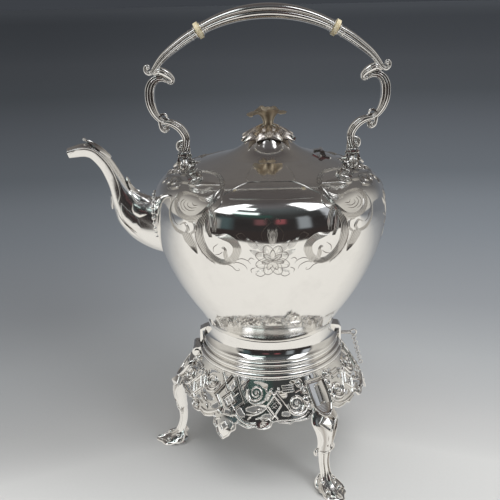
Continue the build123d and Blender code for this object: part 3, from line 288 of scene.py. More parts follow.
def strap(shape, skin, path, widths, section=DOME, rise=0.8, sink=0.4, centre=0.0, side=1, step=1.0,
          smooth=True):
    """Bar laid along a path of (mm across, mm along) on a skin, with half widths from start to end."""
    path = curve(path, step) if smooth else resampled(np.asarray(path, float), step)
    section = np.array(section)
    way = np.gradient(path, axis=0)
    way /= np.maximum(np.linalg.norm(way, axis=1)[:, None], 1e-9)
    half = spread(widths, len(path))[:, None]
    lift = rise * np.clip(half / max(np.max(half), 1e-6), 0.25, 1)
    across = path[:, :1] - way[:, 1:] * half * section[:, 0]
    along = path[:, 1:] + way[:, :1] * half * section[:, 0]
    height = section[:, 1] * lift
    top = skin.place(across, along, height, centre, side)
    under = skin.place(across[:, ::-1], along[:, ::-1], -sink, centre, side)[:, [0, -1]]
    tone = np.concatenate([section[:, 2], [0.3, 0.3]])
    shape.tube(np.concatenate([top, under], 1), tone)


def boss(shape, skin, spot, radius, rise, centre=0.0, side=1, sink=0.4, tone=0.0, stretch=1.0, turn=0.0):
    """Domed button on a skin, drawn out by a stretch along a turned direction."""
    rings = []
    cos, sin = circle(20)
    along_stretch = heading(turn)
    for share, height in ((1, -sink), (1, .12 * rise), (.93, .45 * rise), (.75, .75 * rise), (.45, .95 * rise),
                          (.12, rise)):
        u = radius * share * cos * stretch
        v = radius * share * sin
        across = spot[0] + u * along_stretch[0] - v * along_stretch[1]
        along = spot[1] + u * along_stretch[1] + v * along_stretch[0]
        rings.append(skin.place(across, along, height, centre, side))
    shape.tube(rings, tone)


def hoop(shape, skin, points, width, rise, section=DOME, sink=0.3, centre=0.0):
    """Bar of one width along the straight sides of a closed loop."""
    strap(shape, skin, loop(points), [width, width], section, rise, sink, centre, 1, 0.9, False)


def inside(points, polygon):
    """Which points lie inside a polygon."""
    x, y = np.asarray(points, float).T
    polygon = np.asarray(polygon, float)
    result = np.zeros(len(x), bool)
    for (x0, y0), (x1, y1) in zip(polygon, np.roll(polygon, -1, axis=0)):
        crosses = (y0 > y) != (y1 > y)
        with np.errstate(divide="ignore", invalid="ignore"):
            result ^= crosses & (x < (x1 - x0) * (y - y0) / (y1 - y0) + x0)
    return result


def sheet(shape, place, outline, holes, front, back, step=2.0, tone=0.0):
    """Plate with holes: place(across, along, height) puts its outline and a net of inner points in space."""
    loops = [np.asarray(edge, float) for edge in (outline, *holes)]
    low, high = loops[0].min(0), loops[0].max(0)
    net = np.stack(np.meshgrid(np.arange(low[0], high[0], step), np.arange(low[1], high[1], step)), -1)
    net = net.reshape(-1, 2)
    net[:, 0] += np.where(np.round((net[:, 1] - low[1]) / step) % 2 == 0, 0, step / 2)
    keep = inside(net, loops[0])
    for edge in loops:
        for p, q in zip(edge, np.roll(edge, -1, axis=0)):
            way = q - p
            t = np.clip(((net - p) @ way) / max(way @ way, 1e-9), 0, 1)
            keep &= np.linalg.norm(net - p - t[:, None] * way, axis=1) > step * 0.35
    for hole in loops[1:]:
        keep &= ~inside(net, hole)
    points = [Vector(p) for p in np.concatenate([*loops, net[keep]])]
    edges = []
    start = 0
    for edge in loops:
        edges += [(start + k, start + (k + 1) % len(edge)) for k in range(len(edge))]
        start += len(edge)
    plan, _, triangles, _, _, _ = geometry.delaunay_2d_cdt(points, edges, [], 0, 1e-5)
    plan = np.array([tuple(p) for p in plan])
    triangles = np.array([t for t in triangles if len(t) == 3])
    middle = plan[triangles].mean(1)
    good = inside(middle, loops[0])
    for hole in loops[1:]:
        good &= ~inside(middle, hole)
    triangles = triangles[good]
    count = len(plan)
    borders = {edge: None for a, b, c in triangles for edge in ((a, b), (b, c), (c, a))}
    walls = [(a, b, b + count, a + count) for a, b in borders if (b, a) not in borders]
    top = place(plan[:, 0], plan[:, 1], front)
    bottom = place(plan[:, 0], plan[:, 1], back)
    shape.add(np.concatenate([top, bottom]), [triangles, triangles[:, ::-1] + count, np.array(walls)], tone)


def square_to(way, vector):
    """Unit vectors nearest to a vector and at right angles to each way."""
    vector = np.broadcast_to(np.asarray(vector, float), way.shape)
    return unit(vector - way * (vector * way).sum(1)[:, None])


def sweep(shape, path, section, scales, tone=0.0):
    """Bar along a path in space; its section is (along Y, away from it) and scales run along the path."""
    path = np.asarray(path, float)
    section = np.asarray(section, float)
    way = ways(path)
    across = square_to(way, (0, 1, 0))
    out = np.cross(across, way)
    scales = spread(scales, len(path))[:, None, None]
    rings = section[:, 0, None] * across[:, None] + section[:, 1, None] * out[:, None]
    shape.tube(path[:, None] + scales * rings, tone)


THINNEST = 0.06                      # mm, least half width of a leaf


def leaf(shape, spine, widths, face, thickness=0.7, cup=0.25, lobes=0, lobe_depth=0.25, vein=0.35,
         across_count=9):
    """Leaf along a spine: face points away from its back, cup bends its edges up, lobes notch its sides."""
    spine = curve(spine, 1.0)
    count = len(spine)
    way = ways(spine)
    face = square_to(way, face)
    out = np.cross(way, face)
    share = np.linspace(0, 1, count)
    half = spread(widths, count)
    if lobes:
        half = half * (1 - lobe_depth * (0.5 - 0.5 * np.cos(2 * np.pi * lobes * share ** 0.9)) ** 2)
    half = np.maximum(half, THINNEST)
    u = np.linspace(-1, 1, across_count)
    bend = cup * np.abs(u) ** 1.6
    rib = vein * np.exp(-(u / 0.16) ** 2)
    swell = 0.3 * np.cos(np.pi * np.clip(np.abs(u) * 1.6 - .2, 0, 1))
    half = half[:, None]
    middle = spine[:, None] + out[:, None] * (half * u)[..., None]
    raised = half * bend + (rib + swell * vein) * np.minimum(half, 1.5) + thickness / 2
    top = middle + face[:, None] * raised[..., None]
    low = middle + face[:, None] * (half * bend - thickness / 2)[..., None]
    rings = np.concatenate([top, low[:, ::-1]], 1)
    tones = np.concatenate([0.55 * np.exp(-((np.abs(u) - .3) / .12) ** 2), np.full(across_count, .5)])
    shape.tube(rings, tones)


# --- view, stage and light -----------------------------------------------------------------------
# Where the camera stands, in mm.
EYE = (AXIS_X - 22.8, -578.2, 403.8)
YAW, PITCH, ROLL = 0.52, 19.76, -1.24    # degrees to the right, down and anticlockwise
SENSOR_W = 36                            # mm
LENS = 49.6                              # mm


def set_camera():
    yaw, pitch, roll = np.radians([YAW, PITCH, ROLL])
    forward = np.array([np.sin(yaw) * np.cos(pitch), np.cos(yaw) * np.cos(pitch), -np.sin(pitch)])
    right = np.array([np.cos(yaw), -np.sin(yaw), 0])
    up = np.cross(right, forward)
    camera = new_object("camera", bpy.data.cameras.new("camera"))
    columns = np.eye(4)
    columns[:3, 0] = np.cos(roll) * right + np.sin(roll) * up
    columns[:3, 1] = -np.sin(roll) * right + np.cos(roll) * up
    columns[:3, 2] = -forward
    columns[:3, 3] = np.array(EYE) * MM
    camera.matrix_world = Matrix(columns.tolist())
    camera.data.sensor_width = SENSOR_W
    camera.data.lens = LENS
    camera.data.clip_end = 500
    bpy.context.scene.camera = camera


class Nodes:
    """Short way to wire a node tree."""

    def __init__(self, tree):
        self.tree = tree
        tree.nodes.clear()

    def add(self, kind, inputs=(), **settings):
        node = self.tree.nodes.new(kind)
        for key, value in settings.items():
            setattr(node, key, value)
        for key, value in dict(inputs).items():
            self.feed(node, key, value)
        return node

    def feed(self, node, key, value):
        if isinstance(value, bpy.types.NodeSocket):
            self.tree.links.new(value, node.inputs[key])
        else:
            node.inputs[key].default_value = value

    def math(self, operation, *values):
        return self.add("ShaderNodeMath", dict(enumerate(values)), operation=operation).outputs[0]

    def mix(self, share, a, b, blend="MIX"):
        node = self.add("ShaderNodeMix", data_type="RGBA", blend_type=blend)
        self.feed(node, 0, share)
        self.feed(node, 6, a)
        self.feed(node, 7, b)
        return node.outputs[2]

    def ramp(self, value, stops):
        node = self.add("ShaderNodeValToRGB", {0: value})
        ramp = node.color_ramp
        for position, colour in stops[1:-1]:
            ramp.elements.new(position).color = grey(colour)
        ramp.elements[0].position = stops[0][0]
        ramp.elements[0].color = grey(stops[0][1])
        ramp.elements[-1].position = stops[-1][0]
        ramp.elements[-1].color = grey(stops[-1][1])
        return node.outputs[0]

    def noise(self, scale, detail=3.0, rough=0.5, at=None, stretch=None):
        if at is None:
            at = self.add("ShaderNodeTexCoord").outputs["Object"]
        if stretch is not None:
            at = self.add("ShaderNodeMapping", {0: at, "Scale": stretch}).outputs[0]
        node = self.add("ShaderNodeTexNoise", {0: at, "Scale": scale, "Detail": detail, "Roughness": rough})
        return node.outputs[0]


def new_material(name):
    material = bpy.data.materials.new(name)
    material.use_nodes = True
    return material, Nodes(material.node_tree)


def grey(value):
    """Linear colour of a brightness from 0 to 255, or of three of them."""
    shades = np.broadcast_to(np.asarray(value, float) / 255, (3,))
    linear = np.where(shades <= 0.04045, shades / 12.92, ((shades + 0.055) / 1.055) ** 2.4)
    return (*linear.tolist(), 1.0)


def smooth(nodes, value, low, high, start=0.0, end=1.0):
    return nodes.add("ShaderNodeMapRange", {0: value, 1: low, 2: high, 3: start, 4: end},
                     interpolation_type="SMOOTHSTEP").outputs[0]


def band(nodes, value, low, high, soft):
    """One between two values, none outside them."""
    return nodes.math("MULTIPLY", smooth(nodes, value, low - soft, low + soft),
                      smooth(nodes, value, high - soft, high + soft, 1.0, 0.0))


# Brightness of the room by degrees above the horizon: in front, at the sides, behind.
ROOM_LEVELS = [
    [(0, (44, 41, 41)), (14, (40, 38, 38)), (34, (52, 54, 54)), (56, (84, 90, 92)), (70, (104, 103, 105)),
     (90, (76, 72, 72))],
    [(0, (214, 211, 204)), (34, (210, 207, 200)), (50, (120, 116, 113)), (66, (92, 88, 86)),
     (90, (84, 80, 80))],
    [(0, (116, 119, 124)), (16, (104, 103, 104)), (44, (110, 106, 103)), (62, (88, 84, 83)),
     (90, (84, 80, 80))],
]
ROOM_FRONT = (-61, 71, 4)
ROOM_BEHIND = (104, 140)
ROOM_DARK = (66, 64, 64)
ROOM_SOFT = (232, 236, 240)
ROOM_SEEN = (62, 65, 70)
# Patches of the room: turn from and to, height from and to, softness, colour, strength.
ROOM_PATCHES = [
    (-38, 0, 31, 37, 2.5, (58, 84, 78), 0.8),
    (-54, -38, 0, 26, 5.0, (72, 86, 88), 1.0),
    (-64, -44, 34, 74, 3.5, (250, 252, 255), 2.6),
    (-50, -22, 54, 63, 1.5, (240, 250, 250), 1.9),
    (-46, -14, 38, 46, 1.5, (226, 244, 242), 1.5),
    (45, 74, 42, 74, 3.5, (250, 252, 255), 2.6),
    (54, 68, 12, 44, 3.0, (180, 184, 190), 1.0),
    (25, 37, 2, 28, 3.0, (136, 142, 146), 1.0),
    (-16, -6, 12, 21, 3.0, (112, 78, 80), 0.9),
    (4, 13, 13, 21, 2.5, (142, 82, 86), 0.9),
    (-62, -50, -4, 14, 3.0, (150, 150, 148), 1.0),
]
ROOM_FILL = 0.42                     # strength of the soft light from all round


def set_world():
    """Room as the silver mirrors it: dark in front with two windows, pale at the sides, grey behind."""
    world = bpy.data.worlds.new("room")
    bpy.context.scene.world = world
    world.use_nodes = True
    nodes = Nodes(world.node_tree)
    way = nodes.add("ShaderNodeTexCoord").outputs["Generated"]
    parts = nodes.add("ShaderNodeSeparateXYZ", {0: way}).outputs
    rise = nodes.math("DEGREES", nodes.math("ARCSINE", parts[2]))
    turn = nodes.math("DEGREES", nodes.math("ARCTAN2", parts[0], nodes.math("MULTIPLY", parts[1], -1.0)))
    level = nodes.math("DIVIDE", rise, 90.0)
    front, aside, behind = (nodes.ramp(level, [(height / 90, shade) for height, shade in stops])
                            for stops in ROOM_LEVELS)
    colour = nodes.mix(smooth(nodes, nodes.math("ABSOLUTE", turn), *ROOM_BEHIND), aside, behind)
    colour = nodes.mix(band(nodes, turn, *ROOM_FRONT), colour, front)
    cloud = nodes.noise(3.4, 4.0, 0.6, at=way)
    colour = nodes.mix(nodes.math("MULTIPLY", cloud, 0.35), colour, grey(ROOM_DARK))
    for low, high, bottom, top, soft, shade, power in ROOM_PATCHES:
        share = nodes.math("MULTIPLY", band(nodes, turn, low, high, soft),
                           band(nodes, rise, bottom, top, soft * 0.8))
        lit = tuple(power * c for c in grey(shade)[:3]) + (1.0,)
        colour = nodes.mix(share, colour, lit)
    mirrored_room = nodes.add("ShaderNodeBackground", {0: colour, 1: 1.0}).outputs[0]
    soft_room = nodes.add("ShaderNodeBackground", {0: grey(ROOM_SOFT), 1: ROOM_FILL}).outputs[0]
    rays = nodes.add("ShaderNodeLightPath").outputs
    pick = nodes.add("ShaderNodeMixShader",
                     {0: rays["Is Glossy Ray"], 1: soft_room, 2: mirrored_room}).outputs[0]
    unseen = nodes.add("ShaderNodeBackground", {0: grey(ROOM_SEEN), 1: 1.0}).outputs[0]
    shown = nodes.add("ShaderNodeMixShader", {0: rays["Is Camera Ray"], 1: pick, 2: unseen}).outputs[0]
    nodes.add("ShaderNodeOutputWorld", {0: shown})


# Colour of the table top from near to far, with painted shade that darkens it with distance in place of the
# lamps' fall-off, and the painted glow that silver mirrors from front to back.
FLOOR_FALLOFF_SHADE = [(0.10, (206, 206, 205)), (0.24, (190, 190, 190)), (0.347, (167, 169, 171)),
              (0.413, (143, 146, 150)),
              (0.457, (132, 136, 141)), (0.487, (123, 128, 134)), (0.517, (115, 120, 126)),
              (0.546, (101, 106, 112)),
              (0.605, (97, 101, 107)), (0.645, (93, 97, 102)), (0.70, (106, 109, 114)), (0.84, (105, 108, 113)),
              (0.95, (118, 121, 126))]
FLOOR_PAINTED_GLOW = [(0.0, (236, 234, 229)), (0.18, (232, 230, 225)), (0.32, (204, 203, 200)),
                  (0.48, (160, 162, 164)), (0.70, (128, 131, 135)), (1.0, (114, 117, 122))]
TABLE_REACH = 120.0                  # metres from the middle to each side, past all that is seen


def set_stage():
    """Pale table top with painted shade that darkens it with distance, and a painted glow that only silver's
    reflections see, pale near the kettle and dark past the table's front edge.
    """
    mesh = bpy.data.meshes.new("table_top")
    corners = [(x * TABLE_REACH, y * TABLE_REACH, 0) for x, y in ((-1, -1), (1, -1), (1, 1), (-1, 1))]
    mesh.from_pydata(corners, [], [(0, 1, 2, 3)])
    table = new_object("table_top", mesh)
    material, nodes = new_material("table_top")
    at = nodes.add("ShaderNodeNewGeometry").outputs["Position"]
    at = nodes.add("ShaderNodeVectorMath", {0: at, 1: (-AXIS_X * MM, 0, 0)}, operation="ADD").outputs[0]
    parts = nodes.add("ShaderNodeSeparateXYZ", {0: at}).outputs
    away = nodes.math("SQRT", nodes.math("ADD", nodes.math("POWER", parts[0], 2.0),
                                         nodes.math("POWER", parts[1], 2.0)))
    back = nodes.math("ADD", parts[1], nodes.math("MULTIPLY", away, 0.35))
    depth = nodes.math("DIVIDE", nodes.math("LOGARITHM", nodes.math("MAXIMUM", back, 0.02), 10.0), 4.0)
    depth = nodes.math("ADD", depth, 0.5)
    # Painted shade: the table's colour darkens with distance from the kettle, standing in for the fall-off of
    # the light.
    seen = nodes.ramp(depth, FLOOR_FALLOFF_SHADE)
    lean = nodes.add("ShaderNodeMapRange", {0: parts[1], 1: -0.2, 2: 0.8}).outputs[0]
    near = nodes.ramp(lean, FLOOR_PAINTED_GLOW)
    turn = nodes.math("DEGREES", nodes.math("ARCTAN2", parts[0], nodes.math("MULTIPLY", parts[1], -1.0)))
    # Painted reflection: for silver the table top is a glow, pale near the kettle and dark past its front edge,
    # where the dark room stands.
    painted_dark_past_edge = nodes.math("MULTIPLY", smooth(nodes, parts[1], -0.78, -0.70, 1.0, 0.0),
                       band(nodes, turn, *ROOM_FRONT))
    painted_glow_colour = nodes.mix(painted_dark_past_edge, near, grey((52, 47, 46)))
    rays = nodes.add("ShaderNodeLightPath").outputs
    grain = nodes.math("ADD", nodes.math("MULTIPLY", nodes.noise(420.0, 2.0, 0.6), 0.05), 0.975)
    seen = nodes.mix(1.0, seen, nodes.add("ShaderNodeCombineColor", {0: grain, 1: grain, 2: grain}).outputs[0],
                     "MULTIPLY")
    # Painted shade: the left of the table behind the kettle is darkened towards grey 30, as if less light fell
    # there.
    lean = nodes.math("DIVIDE", parts[0], nodes.math("MAXIMUM", nodes.math("ADD", parts[1], 0.75), 0.2))
    shade = nodes.math("MULTIPLY", smooth(nodes, lean, 0.1, -0.3), smooth(nodes, parts[1], -0.12, 0.02))
    seen = nodes.mix(nodes.math("MULTIPLY", shade, 0.27), seen, grey(30))
    surface = nodes.add("ShaderNodeBsdfDiffuse", {0: seen, 1: 1.0}).outputs[0]
    # The table glows for glossy rays only, though it is no lamp: a painted reflection.
    glow = nodes.add("ShaderNodeEmission", {0: painted_glow_colour, 1: 1.0}).outputs[0]
    shown = nodes.add("ShaderNodeMixShader", {0: rays["Is Glossy Ray"], 1: surface, 2: glow}).outputs[0]
    nodes.add("ShaderNodeOutputMaterial", {0: shown})
    mesh.materials.append(material)


def area_light(name, spot, target, size, power, colour):
    data = bpy.data.lights.new(name, "AREA")
    data.shape = "RECTANGLE"
    data.size, data.size_y = size
    data.energy = power
    data.color = colour
    lamp = new_object(name, data)
    lamp.location = Vector(spot) + Vector((AXIS_X * MM, 0, 0))
    lamp.rotation_euler = (Vector(target) - Vector(spot)).to_track_quat("-Z", "Y").to_euler()
    lamp.visible_glossy = False
    lamp.visible_camera = False


def set_lights():
    area_light("overhead", (0.2, -0.2, 2.2), (0, 0, 0), (2.4, 2.4), 52, (1.0, 0.985, 0.96))
    area_light("window_side", (1.6, -1.6, 1.4), (0, 0, 0.15), (1.0, 1.2), 16, (0.97, 0.985, 1.0))


# --- materials -----------------------------------------------------------------------------------
def polished(name, light, dark, rough, wobble, worn):
    """Polished metal whose recesses, marked by tone, are tarnished."""
    material, nodes = new_material(name)
    tone = nodes.add("ShaderNodeAttribute", attribute_name="tone").outputs["Fac"]
    tone = nodes.add("ShaderNodeMapRange", {0: tone, 1: 0.0, 2: 1.0}).outputs[0]
    film = nodes.noise(34.0, 5.0, 0.62)
    film = nodes.add("ShaderNodeMapRange", {0: film, 1: 0.5, 2: 0.8, 3: 0.0, 4: worn[0]}).outputs[0]
    share = nodes.math("MINIMUM", nodes.math("ADD", tone, film), 1.0)
    colour = nodes.mix(share, (*light, 1.0), (*dark, 1.0))
    fine = nodes.noise(700.0, 2.0, 0.5)
    roughness = nodes.math("ADD", rough, nodes.math("MULTIPLY", fine, worn[1]))
    roughness = nodes.math("ADD", roughness, nodes.math("MULTIPLY", share, 0.24))
    shader = nodes.add("ShaderNodeBsdfPrincipled",
                       {"Base Color": colour, "Metallic": 1.0, "Roughness": roughness})
    if wobble:
        hills = nodes.noise(26.0, 2.0, 0.45)
        bump = nodes.add("ShaderNodeBump", {"Strength": 1.0, "Distance": wobble, "Height": hills})
        nodes.feed(shader, "Normal", bump.outputs[0])
    nodes.add("ShaderNodeOutputMaterial", {0: shader.outputs[0]})
    return material


def bone():
    """Old ivory: cream, faintly streaked, darker in its grain."""
    material, nodes = new_material("ivory")
    grain = nodes.noise(90.0, 4.0, 0.6, stretch=(6.0, 1.0, 1.0))
    colour = nodes.ramp(grain, [(0.3, (188, 172, 138)), (0.55, (216, 204, 172)), (0.8, (230, 222, 196))])
    shader = nodes.add("ShaderNodeBsdfPrincipled", {"Base Color": colour, "Roughness": 0.32})
    shader.inputs["Subsurface Weight"].default_value = 0.15
    shader.inputs["Subsurface Radius"].default_value = (0.002, 0.0015, 0.001)
    nodes.add("ShaderNodeOutputMaterial", {0: shader.outputs[0]})
    return material


def twisted_cotton():
    material, nodes = new_material("cotton")
    at = nodes.add("ShaderNodeTexCoord").outputs["Object"]
    weave = nodes.add("ShaderNodeTexWave", {0: at, "Scale": 900.0, "Distortion": 3.0, "Detail": 2.0},
                      bands_direction="DIAGONAL")
    colour = nodes.ramp(weave.outputs[1], [(0.0, (150, 140, 124)), (1.0, (226, 219, 204))])
    bump = nodes.add("ShaderNodeBump", {"Strength": 0.8, "Distance": 0.0004, "Height": weave.outputs[1]})
    shader = nodes.add("ShaderNodeBsdfPrincipled", {"Base Color": colour, "Roughness": 0.95})
    nodes.feed(shader, "Normal", bump.outputs[0])
    nodes.add("ShaderNodeOutputMaterial", {0: shader.outputs[0]})
    return material


# --- kettle --------------------------------------------------------------------------------------
FOOT_Z = 107.6                       # underside of the kettle
KETTLE_H = 175.7                     # from there to the mouth
BODY_R = 100.0
BASE_R = 48.0
MOUTH_R = 35.5
FOOT_ANGLE = 73.3                    # degrees from level at which the outline leaves the foot
# Joints of the outline's arcs: shares of the way from the inner radius to BODY_R, and of the height.
LOWER_JOINTS = [(0.394, 0.258), (0.865, 0.526), (1.0, 0.731)]
UPPER_JOINTS = [(0.957, 0.834), (0.791, 0.906), (0.426, 0.958), (0.0, 1.0)]
FOOT_WALL_R = 57.0
LID_Z = 283.7
LID_R = 38.1
LID_RISE = 21.4
# Outline of the lid as shares of its radius and rise.
LID_SHAPE = [(1.0, 0.024), (0.965, 0.075), (0.86, 0.13), (0.70, 0.275), (0.52, 0.50), (0.36, 0.73),
             (0.23, 0.90), (0.15, 0.975), (0.115, 1.0)]


OUTLINE_STEP = 0.5                   # mm between points


def tangent_arcs(spots, angle):
    """Points along arcs that run on smoothly from one spot to the next; the last stretch is straight."""
    points = []
    for k, ((x0, y0), (x1, y1)) in enumerate(zip(spots, spots[1:])):
        chord = np.degrees(np.arctan2(y1 - y0, x1 - x0))
        length = np.hypot(x1 - x0, y1 - y0)
        half = np.radians((chord - angle + 180) % 360 - 180)
        t = np.linspace(0, 1, max(int(length / OUTLINE_STEP), 4), endpoint=False)
        if k == len(spots) - 2 or abs(half) < 1e-6:
            points.append(np.stack([x0 + t * (x1 - x0), y0 + t * (y1 - y0)], -1))
        else:
            radius = length / (2 * np.sin(half))
            a0 = np.radians(angle)
            a = a0 + 2 * half * t
            arc = [x0 + radius * (np.sin(a) - np.sin(a0)), y0 - radius * (np.cos(a) - np.cos(a0))]
            points.append(np.stack(arc, -1))
        angle = 2 * chord - angle
    points.append(np.array([spots[-1]], float))
    return np.concatenate(points)


def body_outline():
    spots = [(BASE_R, FOOT_Z + 3.0)]
    spots += [(BASE_R + u * (BODY_R - BASE_R), FOOT_Z + v * KETTLE_H) for u, v in LOWER_JOINTS]
    spots += [(MOUTH_R + u * (BODY_R - MOUTH_R), FOOT_Z + v * KETTLE_H) for u, v in UPPER_JOINTS]
    return tangent_arcs(spots, FOOT_ANGLE)


OUTLINE = body_outline()
WIDEST = float(np.interp(FOOT_Z + LOWER_JOINTS[-1][1] * KETTLE_H, OUTLINE[:, 1], lengths(OUTLINE)))
BODY = Turned(OUTLINE, -WIDEST)      # ways along it count from the widest circle, up


def on_shoulder(radius, values):
    """Value at a radius above the widest circle, where the radius only falls."""
    above = BODY.s > 0
    return float(np.interp(radius, BODY.r[above][::-1], values[above][::-1]))


LID = Turned(curve([(LID_R * u, LID_Z + LID_RISE * v) for u, v in LID_SHAPE], 0.5))


def make_lid():
    """Lid whose rim runs into the shoulder with a thin seam."""
    seat = float(np.interp(-(LID_R + 0.4), -OUTLINE[:, 0], OUTLINE[:, 1]))
    rim = [(LID_R + 0.1, seat + 0.02), (LID_R - 0.1, seat + 0.14), (LID_R - 0.4, seat + 0.26)]
    dome = [(33.0, 284.6), (28.0, 287.0), (23.5, 290.0), (19.0, 294.2), (16.0, 297.2)]
    dome += [(LID_R * u, LID_Z + LID_RISE * v) for u, v in LID_SHAPE[5:]]
    top = np.concatenate([rim, curve([rim[-1], *dome], 0.6)[1:]])
    under = [(r - 0.3, z - 1.3) for r, z in top[::-1][:-3]] + [(LID_R - 0.6, seat - 0.25),
                                                               (LID_R + 0.1, seat - 0.25)]
    outline = np.concatenate([top, [(0.01, top[-1][1])], [(0.01, top[-1][1] - 1.3)], under])
    shape = Shape().turned(outline, 240)
    shape.turned([(34.6, 279.7), (36.2, 279.7), (36.2, 281.6), (34.9, 282.0), (34.6, 281.6)], 180)
    shape.piece("lid_domed", "lid", "silver", PLAIN, "lid", "lid_bezel")


def make_foot_wall():
    """Upright wall under the kettle's belly, which flares out over the ring."""
    top = float(np.interp(FOOT_WALL_R, OUTLINE[:200, 0], OUTLINE[:200, 1]))
    spots = [(-0.6, top + 1.2), (0.1, top - 0.4), (0.2, top - 3.5), (0.2, 127.0), (0.9, 123.6), (2.4, 120.6),
             (4.0, 118.9), (4.6, 118.4)]
    side = curve([(FOOT_WALL_R + r, z) for r, z in spots], 0.5)
    inner = side[::-1] - (1.2, 0)
    Shape().turned(np.concatenate([side, inner]), 240).piece("foot_wall", "kettle", "silver", PLAIN,
                                                             "base_ring")


def around(points):
    """Places given as (degrees from a centre line, way along the kettle) turned into millimetres across."""
    points = np.array(points, float)
    points[:, 0] *= BODY.per_degree(points[:, 1])
    return points


# Cross sections of an engraved line and of a chased leaf.
ENGRAVED = [(-1, 0, 1), (-.5, .8, .9), (.5, .8, .9), (1, 0, 1)]
CHASED = [(-1, -.1, 1), (-.9, .3, 1), (-.74, .75, .35), (-.3, 1, .1), (.25, .9, .15), (.7, .55, .45),
          (.9, .25, 1), (1, -.1, 1)]


ENGRAVED_RISE = 0.1


def hatching(shape, skin, path, reach, spacing, lean, centre, side, wide):
    """Short engraved strokes that leave one edge of a path."""
    path = curve(path, spacing)
    way = ways(path)
    reaches = spread(reach, len(path))
    forward, aside = heading(90 - lean)
    for k in range(1, len(path) - 1):
        normal = np.array([-way[k, 1], way[k, 0]]) * np.sign(reaches[k])
        along = normal * aside + way[k] * forward
        size = abs(reaches[k]) * (0.8 + 0.4 * random.random())
        bend = way[k] * size * 0.18
        spots = [path[k], path[k] + along * size * 0.5 + bend, path[k] + along * size]
        strap(shape, skin, spots, [wide, wide * 1.2, wide * 0.3], ENGRAVED, ENGRAVED_RISE, 0.1, centre, side,
              0.8)


def leaflet(shape, skin, spot, angle, length, width, centre, side, curl=0.25, rise=0.4):
    """Small pointed chased leaf that starts at a spot."""
    way = heading(angle) * length
    across = heading(angle + 90) * length * curl
    path = [spot + way * u + across * v for u, v in ((0, 0), (0.35, 0.15), (0.7, 0.5), (1, 1))]
    strap(shape, skin, path, [width * 0.25, width, width * 0.8, 0.08], CHASED, rise, 0.15, centre, side, 0.8)


def matched(path, count):
    """A smooth path as an even count of spots."""
    path = curve(path, 0.5)
    at = np.linspace(0, len(path) - 1, count)
    return np.stack([np.interp(at, np.arange(len(path)), path[:, k]) for k in (0, 1)], -1)


def ribbon(shape, skin, left, right, grooves, centre, side, rise=0.4, deep=0.3, dark=0.85, fade=(1.0, 1.0),
           step=0.8):
    """Low band between two paths, with grooves that run along it."""
    longest = max(len(curve(left, 0.5)), len(curve(right, 0.5))) * 0.5
    count = max(int(longest / step), 8)
    left = matched(left, count)
    right = matched(right, count)
    u = np.linspace(0, 1, 4 * (grooves + 1) + 1)
    spots = left[:, None] * (1 - u)[:, None] + right[:, None] * u[:, None]
    wave = 0.5 - 0.5 * np.cos(2 * np.pi * u * (grooves + 1))
    lift = np.clip(np.linalg.norm(left - right, axis=1) / 3.0, 0.2, 1)[:, None]
    height = (rise * np.sin(np.pi * u) ** 0.5 + deep * (wave - 1) * 0.8) * lift
    height = np.maximum(height, -0.05)
    tone = dark * (1 - wave) ** 1.5 * spread(fade, count)[:, None]
    top = skin.place(spots[..., 0], spots[..., 1], height, centre, side)
    under = skin.place(spots[:, [-1, 0], 0], spots[:, [-1, 0], 1], -0.35, centre, side)
    shape.tube(np.concatenate([top, under], 1), np.concatenate([tone, tone[:, [-1, 0]]], 1))


def petal_half(t, blunt):
    """Share of a petal's half width at a share of its length."""
    return np.sin(np.pi * np.clip(0.07 + 0.92 * t ** 0.8, 0, 1)) ** blunt


def petal(shape, skin, spot, angle, length, width, centre, side, grooves=3, curl=0.0, rise=0.6, blunt=0.75,
          dark=0.9, fade=(1.0, 0.7, 0.25)):
    """Chased leaf or petal that starts at a spot; width is half of its widest."""
    way, across = heading(angle), heading(angle + 90)
    t = np.linspace(0, 1, 13)[:, None]
    half = width * petal_half(t, blunt)
    spine = np.asarray(spot, float) + way * length * t + across * curl * length * t ** 2
    ribbon(shape, skin, spine + across * half, spine - across * half, grooves, centre, side, rise, 0.4, dark,
           fade, 0.6)


# Half widths of a stroke from its start to its end.
STROKE_WIDTHS = np.array([0.3, 1, 1.1, 0.8, 0.25]) * 0.26


def stroke(shape, skin, path, centre, side):
    """Engraved line that swells in the middle."""
    strap(shape, skin, path, STROKE_WIDTHS, ENGRAVED, 0.12, 0.1, centre, side, 0.7)


def flower_face(shape, skin, spot, radius, centre, side):
    """Open double flower: broad round petals, each with an engraved edge."""
    spot = np.asarray(spot, float)
    t = np.linspace(0.25, 1, 10)[:, None]
    blunt = 0.38
    for count, share, wide, turn, rise in ((8, 1.0, 0.31, 0.5, 0.08), (7, 0.62, 0.24, 0.0, 0.16)):
        for k in range(count):
            angle = 360 / count * (k + turn) + 90
            start = spot + 0.06 * radius * heading(angle)
            length = radius * share * (0.9 + 0.12 * random.random())
            width = radius * share * wide
            angle += 6 * (random.random() - 0.5)
            petal(shape, skin, start, angle, length, width, centre, side, 2, 0.0, rise, blunt, 0.5,
                  (1.0, 0.5, 0.1, 0.0))
            spine = start + heading(angle) * (length + 0.3) * t
            edge = 1.07 * width * petal_half(t, blunt) * heading(angle + 90)
            strap(shape, skin, np.concatenate([spine + edge, (spine - edge)[::-1]]), [0.1, 0.2, 0.24, 0.2, 0.1],
                  ENGRAVED, rise + 0.1, 0.1, centre, side, 0.7)
    boss(shape, skin, spot, radius * 0.10, 0.8, centre, side, tone=0.5)


RIDGE = [(-1, 0, .5), (-.6, .7, .1), (0, 1, 0), (.6, .7, .1), (1, 0, .5)]


